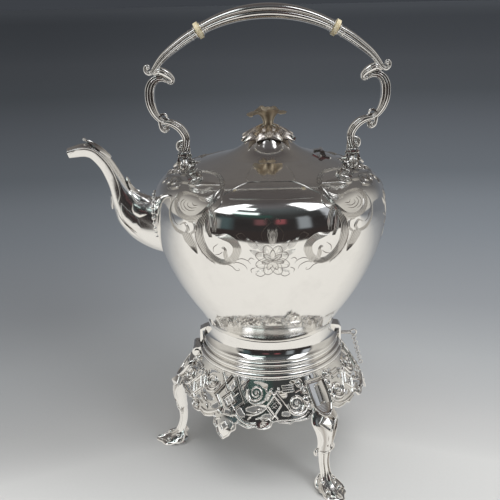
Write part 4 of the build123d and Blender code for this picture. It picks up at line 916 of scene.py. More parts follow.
# Chased work of the kettle's sides as (degrees from the middle of the side, mm above the widest circle).
# Each band is two edges, its grooves and how its darkness runs.
BANDS = [
    ([(63.9, 61.2), (52.4, 65.5), (40.1, 63.2), (31.1, 55.2), (27.1, 45.4), (26.3, 35.4), (27.7, 27.9)],
     [(60, 57.5), (52, 60.5), (42.5, 59.6), (35.2, 53), (31.2, 45.4), (30.0, 36.6), (30.6, 29.4)], 4,
     (0.3, 0.5, 0.7, 0.8)),
    ([(30.2, 30.5), (31.4, 24.5), (33.4, 18.4), (35.0, 11), (35.4, 4.0), (35.0, -2.3), (33.3, -8.5),
      (30.4, -14.2), (26.9, -18.2), (23.0, -19.6), (19.2, -18.4), (16.3, -15.4)],
     [(28.2, 29.5), (28.8, 23.4), (29.8, 17.3), (30.9, 12.0), (31.2, 5.5), (30.6, -0.5), (29.2, -6.0),
      (27.0, -10.3), (24.6, -13.2), (22.0, -14.2), (19.8, -13.0), (18.0, -11.2)], 4, (0.6, 0.8, 1.0, 1.0, 0.9)),
    ([(38.5, 33.4), (44.5, 34.8), (50.2, 34.2), (53.2, 30.4), (52.9, 24.8), (50.6, 18.6), (46.9, 13.6),
      (41.9, 11.8), (36.6, 12.8), (33.0, 16.6), (30.6, 22.6)],
     [(38.9, 32.0), (44, 32.4), (47.9, 30.6), (49.1, 25.6), (47.4, 20.6), (43.7, 16.9), (39.6, 16.0),
      (36.0, 17.8), (33.6, 21.1), (31.4, 25.6)], 3, (0.6, 0.9, 1.0, 0.9)),
    ([(17.0, -17.5), (14.3, -10.6), (13.4, -4.0), (15.0, 2.2), (19.0, 6.4), (25.2, 5.6)],
     [(20.2, -14.2), (17.9, -8.4), (17.4, -3.6), (18.8, -0.4), (21.6, 1.4), (25.4, 3.8)], 5,
     (0.9, 0.8, 0.7, 0.9)),
    ([(19.2, -16.4), (19.8, -9.6), (20.2, -5.6), (21.4, -3.6), (22.6, -5.0), (21.2, -6.2)],
     [(21.4, -15.2), (22.0, -9.8), (21.4, -6.6), (21.2, -5.2), (21.8, -5.2), (21.1, -5.9)], 2, (0.7, 0.9, 1.0)),
    ([(29.3, 45), (31, 39), (34.4, 34.6), (39.0, 32.4)], [(28.6, 38), (29.8, 31.6), (32.4, 28.6), (36.4, 29.4)],
     4, (0.5, 0.8, 0.6)),
    ([(28.6, 25), (25.8, 20), (24.4, 13.4), (24.8, 7.4)], [(30.0, 23), (28.0, 17), (27.2, 12), (26.4, 6.8)], 3,
     (0.8, 0.9, 0.5)),
    ([(29.6, 22), (28.4, 15), (27.6, 9), (26.6, 2.6)], [(31.2, 19), (30.8, 13), (30.2, 8), (28.4, 2.6)], 3,
     (0.8, 0.9, 0.5)),
    ([(53.4, 30), (54.8, 21), (54.4, 12.4), (52.0, 5.6), (48.2, 0.8), (42.4, -0.6)],
     [(52.8, 28), (53.4, 20), (52.4, 12.6), (50.0, 6.8), (46.8, 3.6), (42.8, 2.6)], 2, (0.4, 0.8, 1.0)),
    ([(44.6, 1.5), (43.4, -3), (40.4, -8.6), (36.0, -13.6)],
     [(38.0, 3), (36.4, -2.2), (35.2, -7), (35.2, -13.2)], 5, (0.9, 1.0, 1.0)),
    ([(42.6, 1.4), (41.0, 5.6), (42.6, 8.6), (44.8, 7.0)],
     [(41.4, 1.0), (38.8, 5.4), (41.6, 10.4), (45.6, 7.2)], 1, (0.9, 0.9)),
    ([(38.6, 3.0), (36.6, 6.4), (37.2, 10.4), (39.8, 11.0)],
     [(37.4, 2.0), (34.8, 6.2), (36.4, 11.8), (40.2, 11.8)], 1, (0.9, 0.9)),
]
# Paths of engraved strokes; paths of ridges with their half width and rise; leaves by spot, angle, length,
# half width and curl.
STROKES = [
    [(21.6, -18.4), (18.6, -19.6), (16.4, -23.2), (14.9, -22.6), (15.4, -21.0)],
    [(19.0, -16.8), (15.0, -16.0), (12.1, -18.6), (11.2, -22.0)],
    [(17.0, -14.6), (13.6, -12.4), (10.8, -14.0), (9.6, -16.6)],
    [(10.8, -14.0), (9.4, -11.4), (7.9, -12.6)],
    [(24.0, -2.0), (26.4, -5.6), (26.6, -9.4)], [(22.0, -8.0), (24.0, -10.6), (26.2, -11.4)],
    [(46.2, 27.8), (47.4, 24.2), (45.6, 20.2), (42.4, 18.6)],
    [(44.6, 26.8), (45.2, 23.8), (43.4, 21.2), (40.2, 19.8), (37.0, 21.0)],
    [(42.6, 26.0), (42.6, 23.6), (40.0, 22.0), (36.6, 23.2)], [(40.2, 26.6), (39.0, 24.6), (36.2, 25.2)],
    [(30.4, 27.6), (31.6, 21.4), (33.6, 14.0)], [(29.0, 28.0), (29.6, 20.8), (29.4, 12.4), (28.4, 6.0)],
    [(2.8, -24.6), (5.4, -27.6), (7.6, -25.6), (6.8, -23.6)], [(7.6, -19.6), (9.6, -21.4), (9.4, -24.6)],
    [(0.6, 15.6), (2.2, 19.4), (3.6, 17.0), (2.4, 15.6)], [(4.2, 3.0), (4.6, 8.2), (2.4, 13.6), (0.2, 16.6)],
    [(13.6, 3.0), (15.4, 6.0), (13.2, 8.0), (11.6, 6.0)],
    [(50.6, 12.0), (49.0, 8.2), (46.4, 6.4)], [(52.8, 18.0), (51.8, 13.0), (50.0, 10.0)],
]
RIDGES = [
    ([(0, 56.9), (7, 56.6), (13.6, 55.6), (18.7, 50.3), (22.2, 43.4), (25.6, 37.4)], 0.55, 0.5),
    ([(14.0, 56.2), (16.8, 59.2), (17.8, 66.0), (18.5, 74.3), (16.6, 81.1)], 0.45, 0.35),
    ([(0, 35.0), (6, 35.0), (12.9, 34.6), (20.8, 34.0)], 0.4, 0.4),
    ([(31.4, 48.0), (38.1, 46.4), (43.1, 44.7), (47.1, 41.4), (52.1, 41.2), (54.2, 45.7), (52.8, 50.2),
      (54.0, 55.4), (60, 59.6), (69.8, 60.2)], 1.0, 1.1),
    ([(26.4, 36.4), (24.4, 31.6), (25.0, 26.4), (27.2, 22.6)], 0.5, 0.4),
]
LEAVES = [((2.6, -5.0), 30, 11, 2.9, 0.2), ((4.2, -8.6), 4, 10, 2.4, 0.3), ((6.4, -3.0), 30, 11, 2.6, 0.2),
          ((3.6, -20.5), -40, 7, 1.3, 0.3), ((0.9, 2.4), 76, 10, 1.3, 0.12)]


def side_chasing(shape, centre):
    for side in (-1, 1):
        for left, right, grooves, fade in BANDS:
            ribbon(shape, BODY, around(left), around(right), grooves, centre, side, 0.35, 0.3, 0.75, fade)
        for path in STROKES:
            stroke(shape, BODY, around(path), centre, side)
        for path, wide, rise in RIDGES:
            strap(shape, BODY, around(path), [wide * 0.5, wide, wide, wide * 0.8], RIDGE, rise, 0.2, centre,
                  side, 0.8)
        for spot, angle, length, width, curl in LEAVES:
            petal(shape, BODY, around([spot])[0], angle, length, width, centre, side, 4, curl, 0.12, 0.6, 0.6)
        for path, reach, spacing, lean, wide in (
            (around(BANDS[1][0][2:9]) - 0.35, [2.0, 3.6, 4.0, 3.6, 2.4], 1.0, 62, 0.14),
            (around(BANDS[2][0][4:9]), [-2.0, -3.4, -3.4, -2.0], 1.1, -60, 0.14),
            (around([(34, 49), (42, 46.6), (47.1, 43.4)]), [3.0, 6.5, 5.0], 1.3, 30, 0.18),
            (around([(56, 55.4), (60, 57.6), (68, 58.2)]), [-5.0, -8.0, -6.0], 1.6, 20, 0.2),
        ):
            hatching(shape, BODY, path, reach, spacing, lean, centre, side, wide)
    flower_face(shape, BODY, (0, -13.4), 12.4, centre, 1)
    petal(shape, BODY, (0, -1.5), 90, 13.5, 3.0, centre, 1, 5, 0.0, 0.15, 0.6, 0.7)


def spray(shape, centre):
    """Floral spray on the end of the kettle, away from the spout."""
    flower_face(shape, BODY, (0, 8), 13.0, centre, 1)
    for side in (-1, 1):
        for left, right, grooves in (
            ([(6, 6), (15, -3), (25, -4), (32, 3), (33, 13), (27, 20)],
             [(8, 10), (16, 3), (24, 2), (28, 6), (28.5, 12), (26, 18)], 4),
            ([(27, 20), (22, 20), (20, 15), (23, 12)], [(27, 18.6), (23.6, 18), (22.4, 15), (23.6, 13)], 1),
            ([(3, 18), (8, 27), (16, 31), (23, 27)], [(6, 16), (11, 23), (17, 26), (22.6, 25.6)], 3),
            ([(4, -2), (10, -12), (18, -16), (26, -12)], [(7, 0), (13, -8), (19, -11), (25.6, -10.6)], 3),
        ):
            ribbon(shape, BODY, left, right, grooves, centre, side, 0.4, 0.34, 0.9, (0.7, 1.0, 0.8))
        for spot, angle, length, width, curl in (
            ((18, -3), -60, 10, 1.8, 0.3), ((24, -4), -30, 11, 1.9, 0.3), ((31, 1), 0, 10, 1.8, 0.3),
            ((33, 9), 40, 9, 1.7, 0.3), ((16, 31), 80, 9, 1.7, -0.3), ((20, -15), -60, 9, 1.7, 0.3),
        ):
            petal(shape, BODY, spot, angle, length, width, centre, side, 3, curl, 0.45)
    for k in range(5):
        petal(shape, BODY, (0, -4), -90 + 24 * (k - 2), 15 - 2 * abs(k - 2), 2.2, centre, 1, 3, 0.1 * (k - 2))


def shoulder_chasing(shape, centre, side):
    """Leaf scrolls that run down the shoulder from a handle mount towards the end of the kettle."""
    for left, right, grooves in (
        ([(54, 41), (60, 39.6), (68, 40.6), (76, 37.4), (84, 34.0), (90, 34.0)],
         [(54, 44), (61, 43.4), (68, 44.4), (76, 42.0), (84, 38.6), (90, 38.0)], 3),
        ([(58, 45), (64, 47), (72, 45), (80, 46.4)], [(57, 49), (64, 51.4), (72, 49.6), (80, 49)], 3),
        ([(56, 34), (62, 30), (68, 31), (71, 36)], [(58, 37), (62, 33.4), (66, 34), (68.6, 37.6)], 2),
    ):
        ribbon(shape, BODY, around(left), around(right), grooves, centre, side, 0.6, 0.4, 0.9, (0.8, 1.0, 0.8))
    for spot, angle, length, width, curl in (
        ((60, 40), -70, 9, 1.9, 0.3), ((66, 40.6), -60, 9, 1.9, 0.3), ((73, 39), -70, 8, 1.8, 0.3),
        ((80, 36), -70, 8, 1.8, 0.3), ((66, 50), 60, 8, 1.8, -0.3), ((74, 49), 50, 8, 1.8, -0.3),
    ):
        petal(shape, BODY, around([spot])[0], angle, length, width, centre, side, 3, curl, 0.7)


def make_chasing():
    shape = Shape()
    for centre in (FRONT - 1, BACK - 1):
        side_chasing(shape, centre)
        for side in (-1, 1):
            shoulder_chasing(shape, centre, side)
    spray(shape, 0.0)
    shape.piece("chased_scrolls", "kettle", "silver", CHASING)


# --- spout ---------------------------------------------------------------------------------------
# Sections of the spout from its root: way out, rise, height, width, lean in degrees.
SPOUT_SECTIONS = np.array([
    (0.0, 0.0, 51.0, 34.0, 0), (12.5, 3.2, 47.5, 31.5, 11), (24.0, 8.3, 41.0, 26.0, 26),
    (30.2, 13.2, 36.5, 23.0, 35),
    (35.5, 18.7, 31.5, 20.0, 43), (38.5, 23.9, 26.0, 17.8, 48), (41.0, 29.2, 21.5, 16.0, 52),
    (44.6, 40.5, 15.8, 13.5, 57), (51.0, 54.6, 13.4, 12.5, 52), (55.3, 60.7, 12.8, 12.2, 46),
    (60.6, 66.0, 12.2, 12.0, 38), (66.0, 68.4, 11.8, 12.1, 22), (72.0, 68.8, 11.2, 12.4, 2),
    (83.0, 66.6, 8.6, 11.0, -12),
])
SPOUT_ROOT = np.array([-86.0, 0.0, 220.5])


class Spout:
    """The spout's outside. Places on it: a share of the way out and a turn from its top towards the front."""
    LENGTH = 110.0                   # mm along it, in the flat pattern

    def __init__(self):
        self.table = curve(SPOUT_SECTIONS, 0.5)
        self.share = np.linspace(0, 1, len(self.table))

    def at(self, share, turn, height=0.0):
        out, rise, tall, wide, lean = (np.interp(share, self.share, self.table[:, k]) for k in range(5))
        a = np.radians(lean)
        t = np.radians(turn)
        ridge = self.moulding(share, turn)
        facet = self.facets(share, turn)
        y = -(wide / 2 * facet + height + ridge) * np.sin(t)
        up = (tall / 2 * facet + height + ridge) * np.cos(t)
        return np.stack([SPOUT_ROOT[0] - out + up * np.sin(a), y, SPOUT_ROOT[2] + rise + up * np.cos(a)], -1)

    def facets(self, share, turn):
        """How far the neck is flattened between its ridges at the top, on each side and below."""
        neck = np.clip((share - 0.38) / 0.16, 0, 1)
        u = np.abs((np.asarray(turn, float) + 180) % 360 - 180)
        upper = 0.08 * np.sin(np.pi * np.clip(u / 62, 0, 1))
        lower = 0.17 * np.sin(np.pi * np.clip((u - 62) / 88, 0, 1))
        return 1 - neck * (upper + lower)

    def moulding(self, share, turn):
        """Gores in the bulb."""
        bulb = np.clip(1 - np.abs(share - 0.2) / 0.26, 0, 1)
        return bulb * 0.9 * (np.abs(np.cos(3 * np.radians(turn))) ** 1.5 - 0.4)

    def spread_radius(self, share):
        return np.interp(share, self.share, self.table[:, 2] + self.table[:, 3]) / 4

    def place(self, across, along, height=0.0, centre=0.0, side=1):
        share = np.asarray(along) / self.LENGTH
        turn = centre + side * np.degrees(np.asarray(across) / self.spread_radius(share))
        return self.at(share, turn, height)

    def lay(self, points):
        """Places given as (turn in degrees, share of the way out) turned into millimetres."""
        points = np.array(points, float)
        return np.stack([np.radians(points[:, 0]) * self.spread_radius(points[:, 1]),
                         points[:, 1] * self.LENGTH], -1)


def make_spout():
    skin = Spout()
    shape = Shape()
    turns = np.linspace(0, 360, 96, endpoint=False)
    root = []
    shares = np.linspace(0, 0.5, 400)
    for turn in turns:               # where the spout comes out of the kettle's wall
        spots = skin.at(shares, turn)
        wall = np.interp(spots[:, 2], OUTLINE[:, 1], OUTLINE[:, 0]) - 0.5
        root.append(shares[np.argmax(np.hypot(spots[:, 0], spots[:, 1]) > wall)])
    root = np.array(root)
    rows = [skin.at(root + (1 - root) * u, turns) for u in np.linspace(0, 1, 150)]
    rows += [skin.at(np.ones(96) * 1.004, turns, -0.25), skin.at(np.ones(96) * 1.002, turns, -0.9)]
    rows += [skin.at(np.ones(96) * u, turns, -1.1) for u in np.linspace(0.995, 0.70, 30)]
    shape.tube(rows)
    for side in (-1, 1):
        for points, widths, section, rise in (
            ([(96, 0.985), (70, 0.93), (60, 0.84), (60, 0.74), (61, 0.64), (66, 0.54), (84, 0.46), (112, 0.42)],
             [0.3, 0.55, 0.7, 0.7, 0.7, 0.7, 0.6, 0.3], DOME, 0.6),
            ([(62, 0.34), (66, 0.29), (68, 0.24), (66, 0.185)], [0.3, 3.4, 5.0, 4.6, 0.6], DOME, 1.3),
            ([(100, 0.40), (104, 0.34), (106, 0.27), (104, 0.19)], [0.3, 2.6, 4.2, 4.4, 0.4], DOME, 1.2),
            ([(136, 0.39), (142, 0.33), (143, 0.26), (140, 0.17)], [0.3, 2.0, 3.4, 3.6, 0.3], DOME, 1.1),
            ([(24, 0.40), (26, 0.33), (30, 0.26), (32, 0.20)], [0.3, 2.0, 3.4, 3.0, 0.3], DOME, 1.0),
            ([(126, 0.325), (125, 0.27), (123, 0.205)], [0.15, 0.8, 0.15], [(-1, 0, 1), (0, .2, 1), (1, 0, 1)],
             0.25),
            ([(0, 0.47), (16, 0.44), (36, 0.40), (52, 0.33), (48, 0.25)], [0.3, 0.7, 0.9, 0.9, 0.4], DOME, 0.9),
        ):
            strap(shape, skin, skin.lay(points), widths, section, rise, 0.5, 0.0, side, 0.8)
    shape.piece("spout_swan_neck", "kettle", "silver", SPOUT_SILVER, "spout")


def make_spout_trim():
    """Leaf crest near the lip, the leaf tip under the neck and the beaded border round the root."""
    skin = Spout()
    shape = Shape()
    for start, tip, lift, wide in ((0.62, 0.875, 3.0, 4.6), (0.36, 0.50, 1.6, 4.4)):
        shares = np.linspace(start, tip, 6)
        spine = skin.at(shares, np.zeros(6), 0.2)
        normal = skin.at(shares, np.zeros(6), 1.2) - spine
        spine = spine + normal * (np.linspace(0, 1, 6) ** 3 * lift)[:, None]
        leaf(shape, spine, [1.6, wide * 0.85, wide, wide * 0.9, wide * 0.62, 0.5], normal.mean(0), 1.2, -0.30,
             2, 0.16)
        ball(shape, spine[-1] + normal[-1] * 0.2, 1.5 if lift > 2 else 0.9, (1, 1.6, 1))
    end = skin.at(np.array([0.47, 0.435, 0.40]), np.full(3, 180.0), 0.2)
    end[:, 0] -= [0, 0.5, 1.4]
    leaf(shape, end, [3.2, 2.4, 0.3], (-0.8, 0, -0.6), 1.0, -0.3)
    for side in (-1, 1):
        border = [(0, 16.5), (7.5, 13.0), (13.5, 6.0), (17.2, -2.5), (17.2, -12), (13.5, -22), (7.5, -32),
                  (0, -43)]
        strap(shape, BODY, border, [0.7, 0.8, 0.8, 0.8, 0.8, 0.7, 0.6, 0.4], DOME, 1.2, 0.6, 180.0, side, 1.0)
        path = resampled(curve(border, 0.5), 4.6)
        for k, spot in enumerate(path[1:-1]):
            boss(shape, BODY, spot, 1.75 if k % 2 else 1.35, 2.3, 180.0, side)
    shape.piece("spout_trim", "kettle", "silver", SILVER, "spout_flange")


# --- handle --------------------------------------------------------------------------------------
PIVOT = np.array([71.5, 283.051])    # of the right arm, as (x, z)
ARCH_R = 115.8
ARCH_Z = PIVOT[1] + 114.4 - ARCH_R   # height of the arch's centre
GRIP_ANGLE = 27.405                  # degrees from the top at which the grip ends
ARM_ANGLE = 29.187                   # and the arm starts


def fluted(grooves, depth, width):
    """Round section with lengthwise grooves at angles from its outer side, and its tarnish."""
    a = np.linspace(0, 360, 72, endpoint=False)
    r = np.ones(len(a))
    tone = np.zeros(len(a))
    for groove in grooves:
        off = np.abs((a - groove + 180) % 360 - 180)
        r -= depth * np.exp(-(off / width) ** 2)
        tone += 0.8 * np.exp(-(off / (width * 0.75)) ** 2)
    a = np.radians(a)
    return np.stack([r * np.sin(a), r * np.cos(a)], -1), tone


def in_plane(points):
    """Points of (x, z) put on the middle plane of the handle."""
    points = np.asarray(points, float)
    return np.stack([points[:, 0], np.zeros(len(points)), points[:, 1]], -1)


def arch(angles):
    a = np.radians(np.asarray(angles, float))
    return in_plane(np.stack([ARCH_R * np.sin(a), ARCH_Z + ARCH_R * np.cos(a)], -1))


def ball(shape, centre, radius, stretch=(1, 1, 1)):
    t = np.linspace(0.08, np.pi - 0.08, 12)
    cos, sin = circle(20)
    rings = np.stack([np.outer(np.sin(t), cos), np.outer(np.sin(t), sin), np.outer(np.cos(t), np.ones(20))], -1)
    shape.tube(rings * radius * np.array(stretch) + np.asarray(centre, float))


def collar(shape, angle, radius, wide, swell):
    """Small ring round the arch."""
    share = np.linspace(-1, 1, 9)
    cos, sin = circle(32)
    bulge = radius + swell * np.sqrt(np.clip(1 - share ** 2, 0, 1))
    sweep(shape, arch(angle + share * np.degrees(wide / ARCH_R) / 2), np.stack([sin, cos], -1), bulge)


def make_grip():
    shape = Shape()
    section, tone = fluted((96, 264), 0.30, 13)
    angles = np.linspace(-GRIP_ANGLE, GRIP_ANGLE, 120)
    scales = 4.4 + 1.7 * np.cos(np.radians(90 * angles / GRIP_ANGLE))
    sweep(shape, arch(angles), section, scales, tone=tone)
    for side in (-1, 1):
        collar(shape, side * (GRIP_ANGLE - 1.6), 4.25, 1.3, 0.75)
        collar(shape, side * (GRIP_ANGLE - 0.5), 4.5, 1.6, 0.9)
        collar(shape, side * (GRIP_ANGLE - 2.6), 4.4, 1.0, 0.5)
    shape.piece("grip_reeded", "handle", "silver", SILVER, "handle_grip")


def from_pivot(points):
    return np.asarray(points, float) + PIVOT


def about_pivot(steps):
    """Rings round the pivot's line, each at a way along it and with a radius."""
    cos, sin = circle(36)
    return [np.stack([np.full(36, PIVOT[0] + x), r * sin, PIVOT[1] + r * cos], -1) for x, r in steps]


def arm_shape():
    """Right arm: reeded bar, volutes, leafy curls and the eye on the pivot."""
    shape = Shape()
    bold = fluted((98, 262), 0.30, 13)
    three = fluted((66, 130, 230, 294), 0.24, 11)
    plain = fluted((80, 280), 0.18, 12)

    def bar(path, section, widths):
        sweep(shape, in_plane(path), section[0], widths, tone=section[1])

    def curl(points, section, widths, step=0.4):
        bar(curve(from_pivot(points), step), section, widths)

    def bud(x, z, radius, wide):
        ball(shape, in_plane(from_pivot([(x, z)]))[0], radius, (1, wide, 1))

    start = arch([ARM_ANGLE])[0][[0, 2]]
    shoulder = curve([start, start + (6.6, -3.8), start + (13.0, -7.9),
                      *from_pivot([(11.5, 81.6), (16.4, 76.6), (20.4, 71.6)])], 0.6)
    end = curve(from_pivot([(20.4, 71.6), (22.6, 69.0), (25.0, 67.9), (27.4, 69.0), (28.3, 71.4), (27.4, 73.6),
                            (25.6, 73.8), (24.9, 72.4)]), 0.4)
    bar(np.concatenate([shoulder[:-1], end]), bold,
        [4.0, 4.2, 4.1, 3.9, 3.6, 3.3, 2.9, 2.4, 2.0, 1.7, 1.4, 1.2])
    bud(25.9, 72.3, 1.9, 1.3)
    collar(shape, ARM_ANGLE + 0.5, 4.3, 1.6, 0.8)
    collar(shape, ARM_ANGLE + 2.7, 4.1, 1.2, 0.6)
    curl([(21.6, 66.6), (17.4, 69.6), (13.4, 68.6), (9.2, 66.0), (6.6, 63.0), (6.8, 60.6), (9.0, 60.0)], plain,
         [1.2, 2.6, 3.3, 3.5, 3.2, 2.6, 2.0, 1.3], 0.5)
    bud(9.6, 60.8, 1.7, 1.2)
    curl([(10.8, 61.0), (14.1, 63.2), (18.4, 63.6), (22.6, 61.0), (25.1, 56.2), (25.9, 50.0), (25.1, 42.2),
          (22.5, 35.4),
          (17.8, 29.8), (14.4, 27.9)], three, [1.2, 2.4, 3.2, 3.7, 4.1, 4.2, 4.2, 4.0, 3.6, 3.1, 2.7, 2.2], 0.6)
    curl([(18.4, 31.4), (18.7, 26.8), (17.6, 22.2), (14.8, 20.6), (12.5, 22.2), (12.8, 24.8), (15.0, 25.2)],
         plain, [1.6, 1.9, 1.7, 1.6, 1.5, 1.3, 1.0])
    bud(15.2, 23.6, 1.7, 1.3)
    curl([(17.6, 29.4), (13.4, 28.2), (9.0, 27.2), (3.8, 24.3), (-0.3, 19.4), (-2.3, 13.8), (-1.7, 8.1),
          (0.0, 3.0)],
         three, [1.6, 2.6, 3.2, 3.6, 3.7, 3.7, 3.5, 3.3, 3.0, 2.7], 0.6)
    curl([(-1.4, 12.6), (0.6, 11.8), (3.6, 10.8), (5.2, 8.2), (4.6, 5.2), (2.4, 4.2), (0.8, 5.6), (1.6, 7.4)],
         plain, [1.8, 2.0, 1.9, 1.7, 1.6, 1.4, 1.2, 0.9])
    bud(2.6, 7.4, 1.7, 1.3)
    leaves = [
        ([(19.6, 66.8), (17.6, 70.6), (16.6, 73.6), (17.4, 75.4)], [1.4, 2.0, 1.3, 0.3], (-0.86, 0.5)),
        ([(20.4, 31.0), (18.0, 33.4), (15.6, 34.6), (13.4, 33.6), (12.8, 31.8)], [2.6, 2.6, 2.2, 1.6, 0.5],
         (-0.5, 0.8)),
        ([(8.4, 27.4), (12.0, 29.8), (16.0, 30.8), (19.0, 30.4)], [0.5, 1.8, 2.0, 0.6], (-0.2, 0.95)),
        ([(-1.8, 15.0), (-3.6, 11.0), (-3.8, 6.0), (-4.2, 1.6), (-6.0, -1.4)], [0.6, 1.8, 2.0, 1.6, 0.4],
         (-0.95, 0.2)),
    ]
    for spine, widths, face in leaves:
        leaf(shape, in_plane(from_pivot(spine)), widths, (face[0], 0, face[1]), 1.2, 0.15, 2, 0.15)
    shape.tube(about_pivot([(-2.5, 2.6), (-2.5, 3.2), (-2.1, 3.6), (0, 3.75), (2.1, 3.6), (2.5, 3.2),
                            (2.5, 2.6)]))
    return shape


def make_arms():
    right = arm_shape()
    right.piece("arm_right_reeded", "handle", "silver", SILVER, "handle_arm_right")
    right.moved(mirrored).piece("arm_left_reeded", "handle", "silver", SILVER, "handle_arm_left")


def mount_shape():
    """Right mount: two ears on a leafy stem whose leaves spread over the shoulder."""
    shape = Shape()
    for way in (-1, 1):
        disc = [(2.95, 2.2), (2.95, 3.6), (3.3, 4.0), (4.3, 4.0), (4.6, 3.5), (4.6, 2.2)]
        shape.tube(about_pivot([(way * x, r) for x, r in disc]))
        spine = [(way * 3.8, 1), (way * 4.6, -3.4), (way * 6.6, -6.6 - way * 1.2),
                 (way * 9.4, -7.6 - way * 2.2)]
        leaf(shape, in_plane(from_pivot(spine)), [3.2, 3.6, 3.3, 0.6], (way, 0, 0.3), 1.4, 0.15, 2, 0.2)
    low = on_shoulder(PIVOT[0], BODY.z)
    stem = [(low - 1, 6.2, 5.6), (low + 1.2, 5.4, 4.8), (low + 3.2, 4.7, 3.9), (low + 5.0, 4.6, 3.6)]
    turn = np.linspace(0, 2 * np.pi, 36, endpoint=False)
    lobes = 1 + 0.08 * np.cos(6 * turn)
    shape.tube([np.stack([PIVOT[0] + a * lobes * np.cos(turn), b * lobes * np.sin(turn), np.full(36, z)], -1)
                for z, a, b in stem])
    for way in (-1, 1):
        spine = np.array([(0, 2.6, -3.6), (0, 4.6, -6.4), (0.4, 7.6, -8.2), (0.8, 10.6, -8.0)]) * (1, way, 1)
        leaf(shape, spine + (PIVOT[0], 0, PIVOT[1]), [1.6, 3.2, 3.0, 0.4], (0, way * 0.7, 0.7), 1.2, 0.2, 2,
             0.25)
    root = (0, on_shoulder(PIVOT[0], BODY.s))
    t = np.linspace(0, 1, 40)
    for angle, length, width, lobed in (
        (-90, 17, 4.0, 3), (90, 14, 3.6, 3), (0, 15, 3.6, 3), (180, 15, 3.6, 3),
        (-42, 15, 3.0, 2), (222, 15, 3.0, 2), (48, 11, 2.6, 2), (132, 11, 2.6, 2),
    ):
        path = np.outer((0.15, 0.4, 0.7, 1.0), heading(angle) * length) + root
        shares = np.sin(np.pi * np.clip(0.12 + 0.88 * t, 0,
                                        1)) ** 0.7 * (1 - 0.34 * np.abs(np.sin(np.pi * lobed * t)) ** 3)
        strap(shape, BODY, path, width * np.maximum(shares, 0.06), LEAF, 2.0, 0.4, 0.0, 1, 0.6)
    return shape


def make_mounts():
    right = mount_shape()
    right.piece("mount_right_leafy", "kettle", "silver", SILVER, "handle_mount_right")
    right.moved(mirrored).piece("mount_left_leafy", "kettle", "silver", SILVER, "handle_mount_left")


# --- finial --------------------------------------------------------------------------------------
ROSETTE_Z = 305.9                    # height of the leaf crown's middle
# A leaf of the crown by degrees from the front: reach, drop.
CROWN = [(0, 17.5, 8.4), (45, 25.0, 11.4), (90, 24.5, 13.6), (135, 25.0, 11.4), (180, 17.5, 8.4)]


def make_finial():
    shape = Shape()
    for layer, (count, turn, share) in enumerate(((6, 0.5, 0.93), (6, 0.0, 1.0))):
        for k in range(count):
            a = 360 * (k + turn) / count
            aside = abs((a + 180) % 360 - 180)
            reach, drop = (np.interp(aside, *np.transpose(CROWN)[[0, j]]) for j in (1, 2))
            t = np.array([0.12, 0.3, 0.5, 0.7, 0.88, 1.0])
            r = reach * t * share
            z = ROSETTE_Z + 0.6 + layer * 1.0 - drop * share * t ** 1.25 + np.array([0, 0, 0.4, 0.5, 0.3, 0.2])
            bed = np.interp(r, LID.r[::-1], LID.z[::-1]) + 1.4
            spine = np.stack([r, np.zeros(6), np.maximum(z, bed)], -1)
            slope = np.arctan2(drop, reach)
            one = Shape()
            leaf(one, spine, [2.4, 5.2, 7.4, 7.8, 5.2, 0.4], (np.sin(slope), 0, np.cos(slope)), 1.1, -0.30, 3,
                 0.2, vein=0.7, across_count=21)
            shape.join(one.moved(turned_by(FRONT + a)))
    hub = [(0.2, 0.9), (4.2, 0.9), (5.6, 0.2), (6.0, -1.2), (4.6, -3.0), (0.2, -3.0)]
    shape.turned([(r, ROSETTE_Z + z) for r, z in hub], 48)
    shape.piece("finial_leaf_crown", "lid", "gilt", LEAF_GILT, "finial_leaves")

    flower = Shape()
    turns = np.linspace(0, 2 * np.pi, 240, endpoint=False)
    sides = np.cos(turns) ** 2
    fold = np.cos(6 * turns)
    outside = [(4.3, 0.4), (4.0, 2.6), (4.2, 4.6), (5.2, 7.2), (7.2, 9.8), (10.2, 11.6), (13.6, 12.2),
               (16.4, 12.0)]
    inner = [(16.9, 12.6), (13.6, 13.3), (10.2, 12.8), (6.8, 11.0), (4.0, 8.4), (1.6, 7.2), (0.4, 7.0)]
    rings = []
    tones = []
    for r, z in outside + inner:
        share = np.clip((r - 4.6) / 12.0, 0, 1)
        reach = 1 - share * (0.36 * (1 - sides) + 0.05 - 0.05 * np.abs(np.cos(3 * turns)))
        radius = r * reach * (1 + (1 - share) * 0.07 * fold)
        height = z + share ** 1.5 * (2.6 * (1 - sides) - 2.8 * sides * (1 + 0.25 * np.sign(-np.cos(turns)))
                                     + 0.9 * np.cos(6 * turns + 0.5)) + 0.3 * np.cos(13 * turns) * share
        rings.append(np.stack([radius * np.cos(turns) - 1.2 * share, radius * np.sin(turns),
                               ROSETTE_Z + 0.3 + height], -1))
        tones.append(np.clip(0.35 * (1 - share) * (1 - fold) + 0.12, 0, 0.7))
    flower.tube(rings, np.array(tones))
    for k in range(6):
        x, y = 1.7 * heading(60 * k + 30)
        ball(flower, (x - 0.3, y, ROSETTE_Z + 9.2), 0.8, (1, 1, 1.6))
    flower.piece("finial_lily", "lid", "gilt", GILT, "finial_flower")


# --- apron ---------------------------------------------------------------------------------------
UNDER_RING = 102.8                   # height of the apron's top edge
# Slope of the apron from its top edge: shares of the way out and of the way down.
APRON_CURVE = [(0, 0), (0.25, 0.18), (0.55, 0.41), (0.78, 0.60), (0.93, 0.80), (1, 1)]
APRON = Turned(curve([(64.7 + 26.3 * u, UNDER_RING - 55.0 * v) for u, v in APRON_CURVE], 0.5))
ACROSS = 1.4                         # mm across for a degree, in the flat pattern of a panel
PANEL_ANGLES = (0, 120, 240)         # middles of the panels


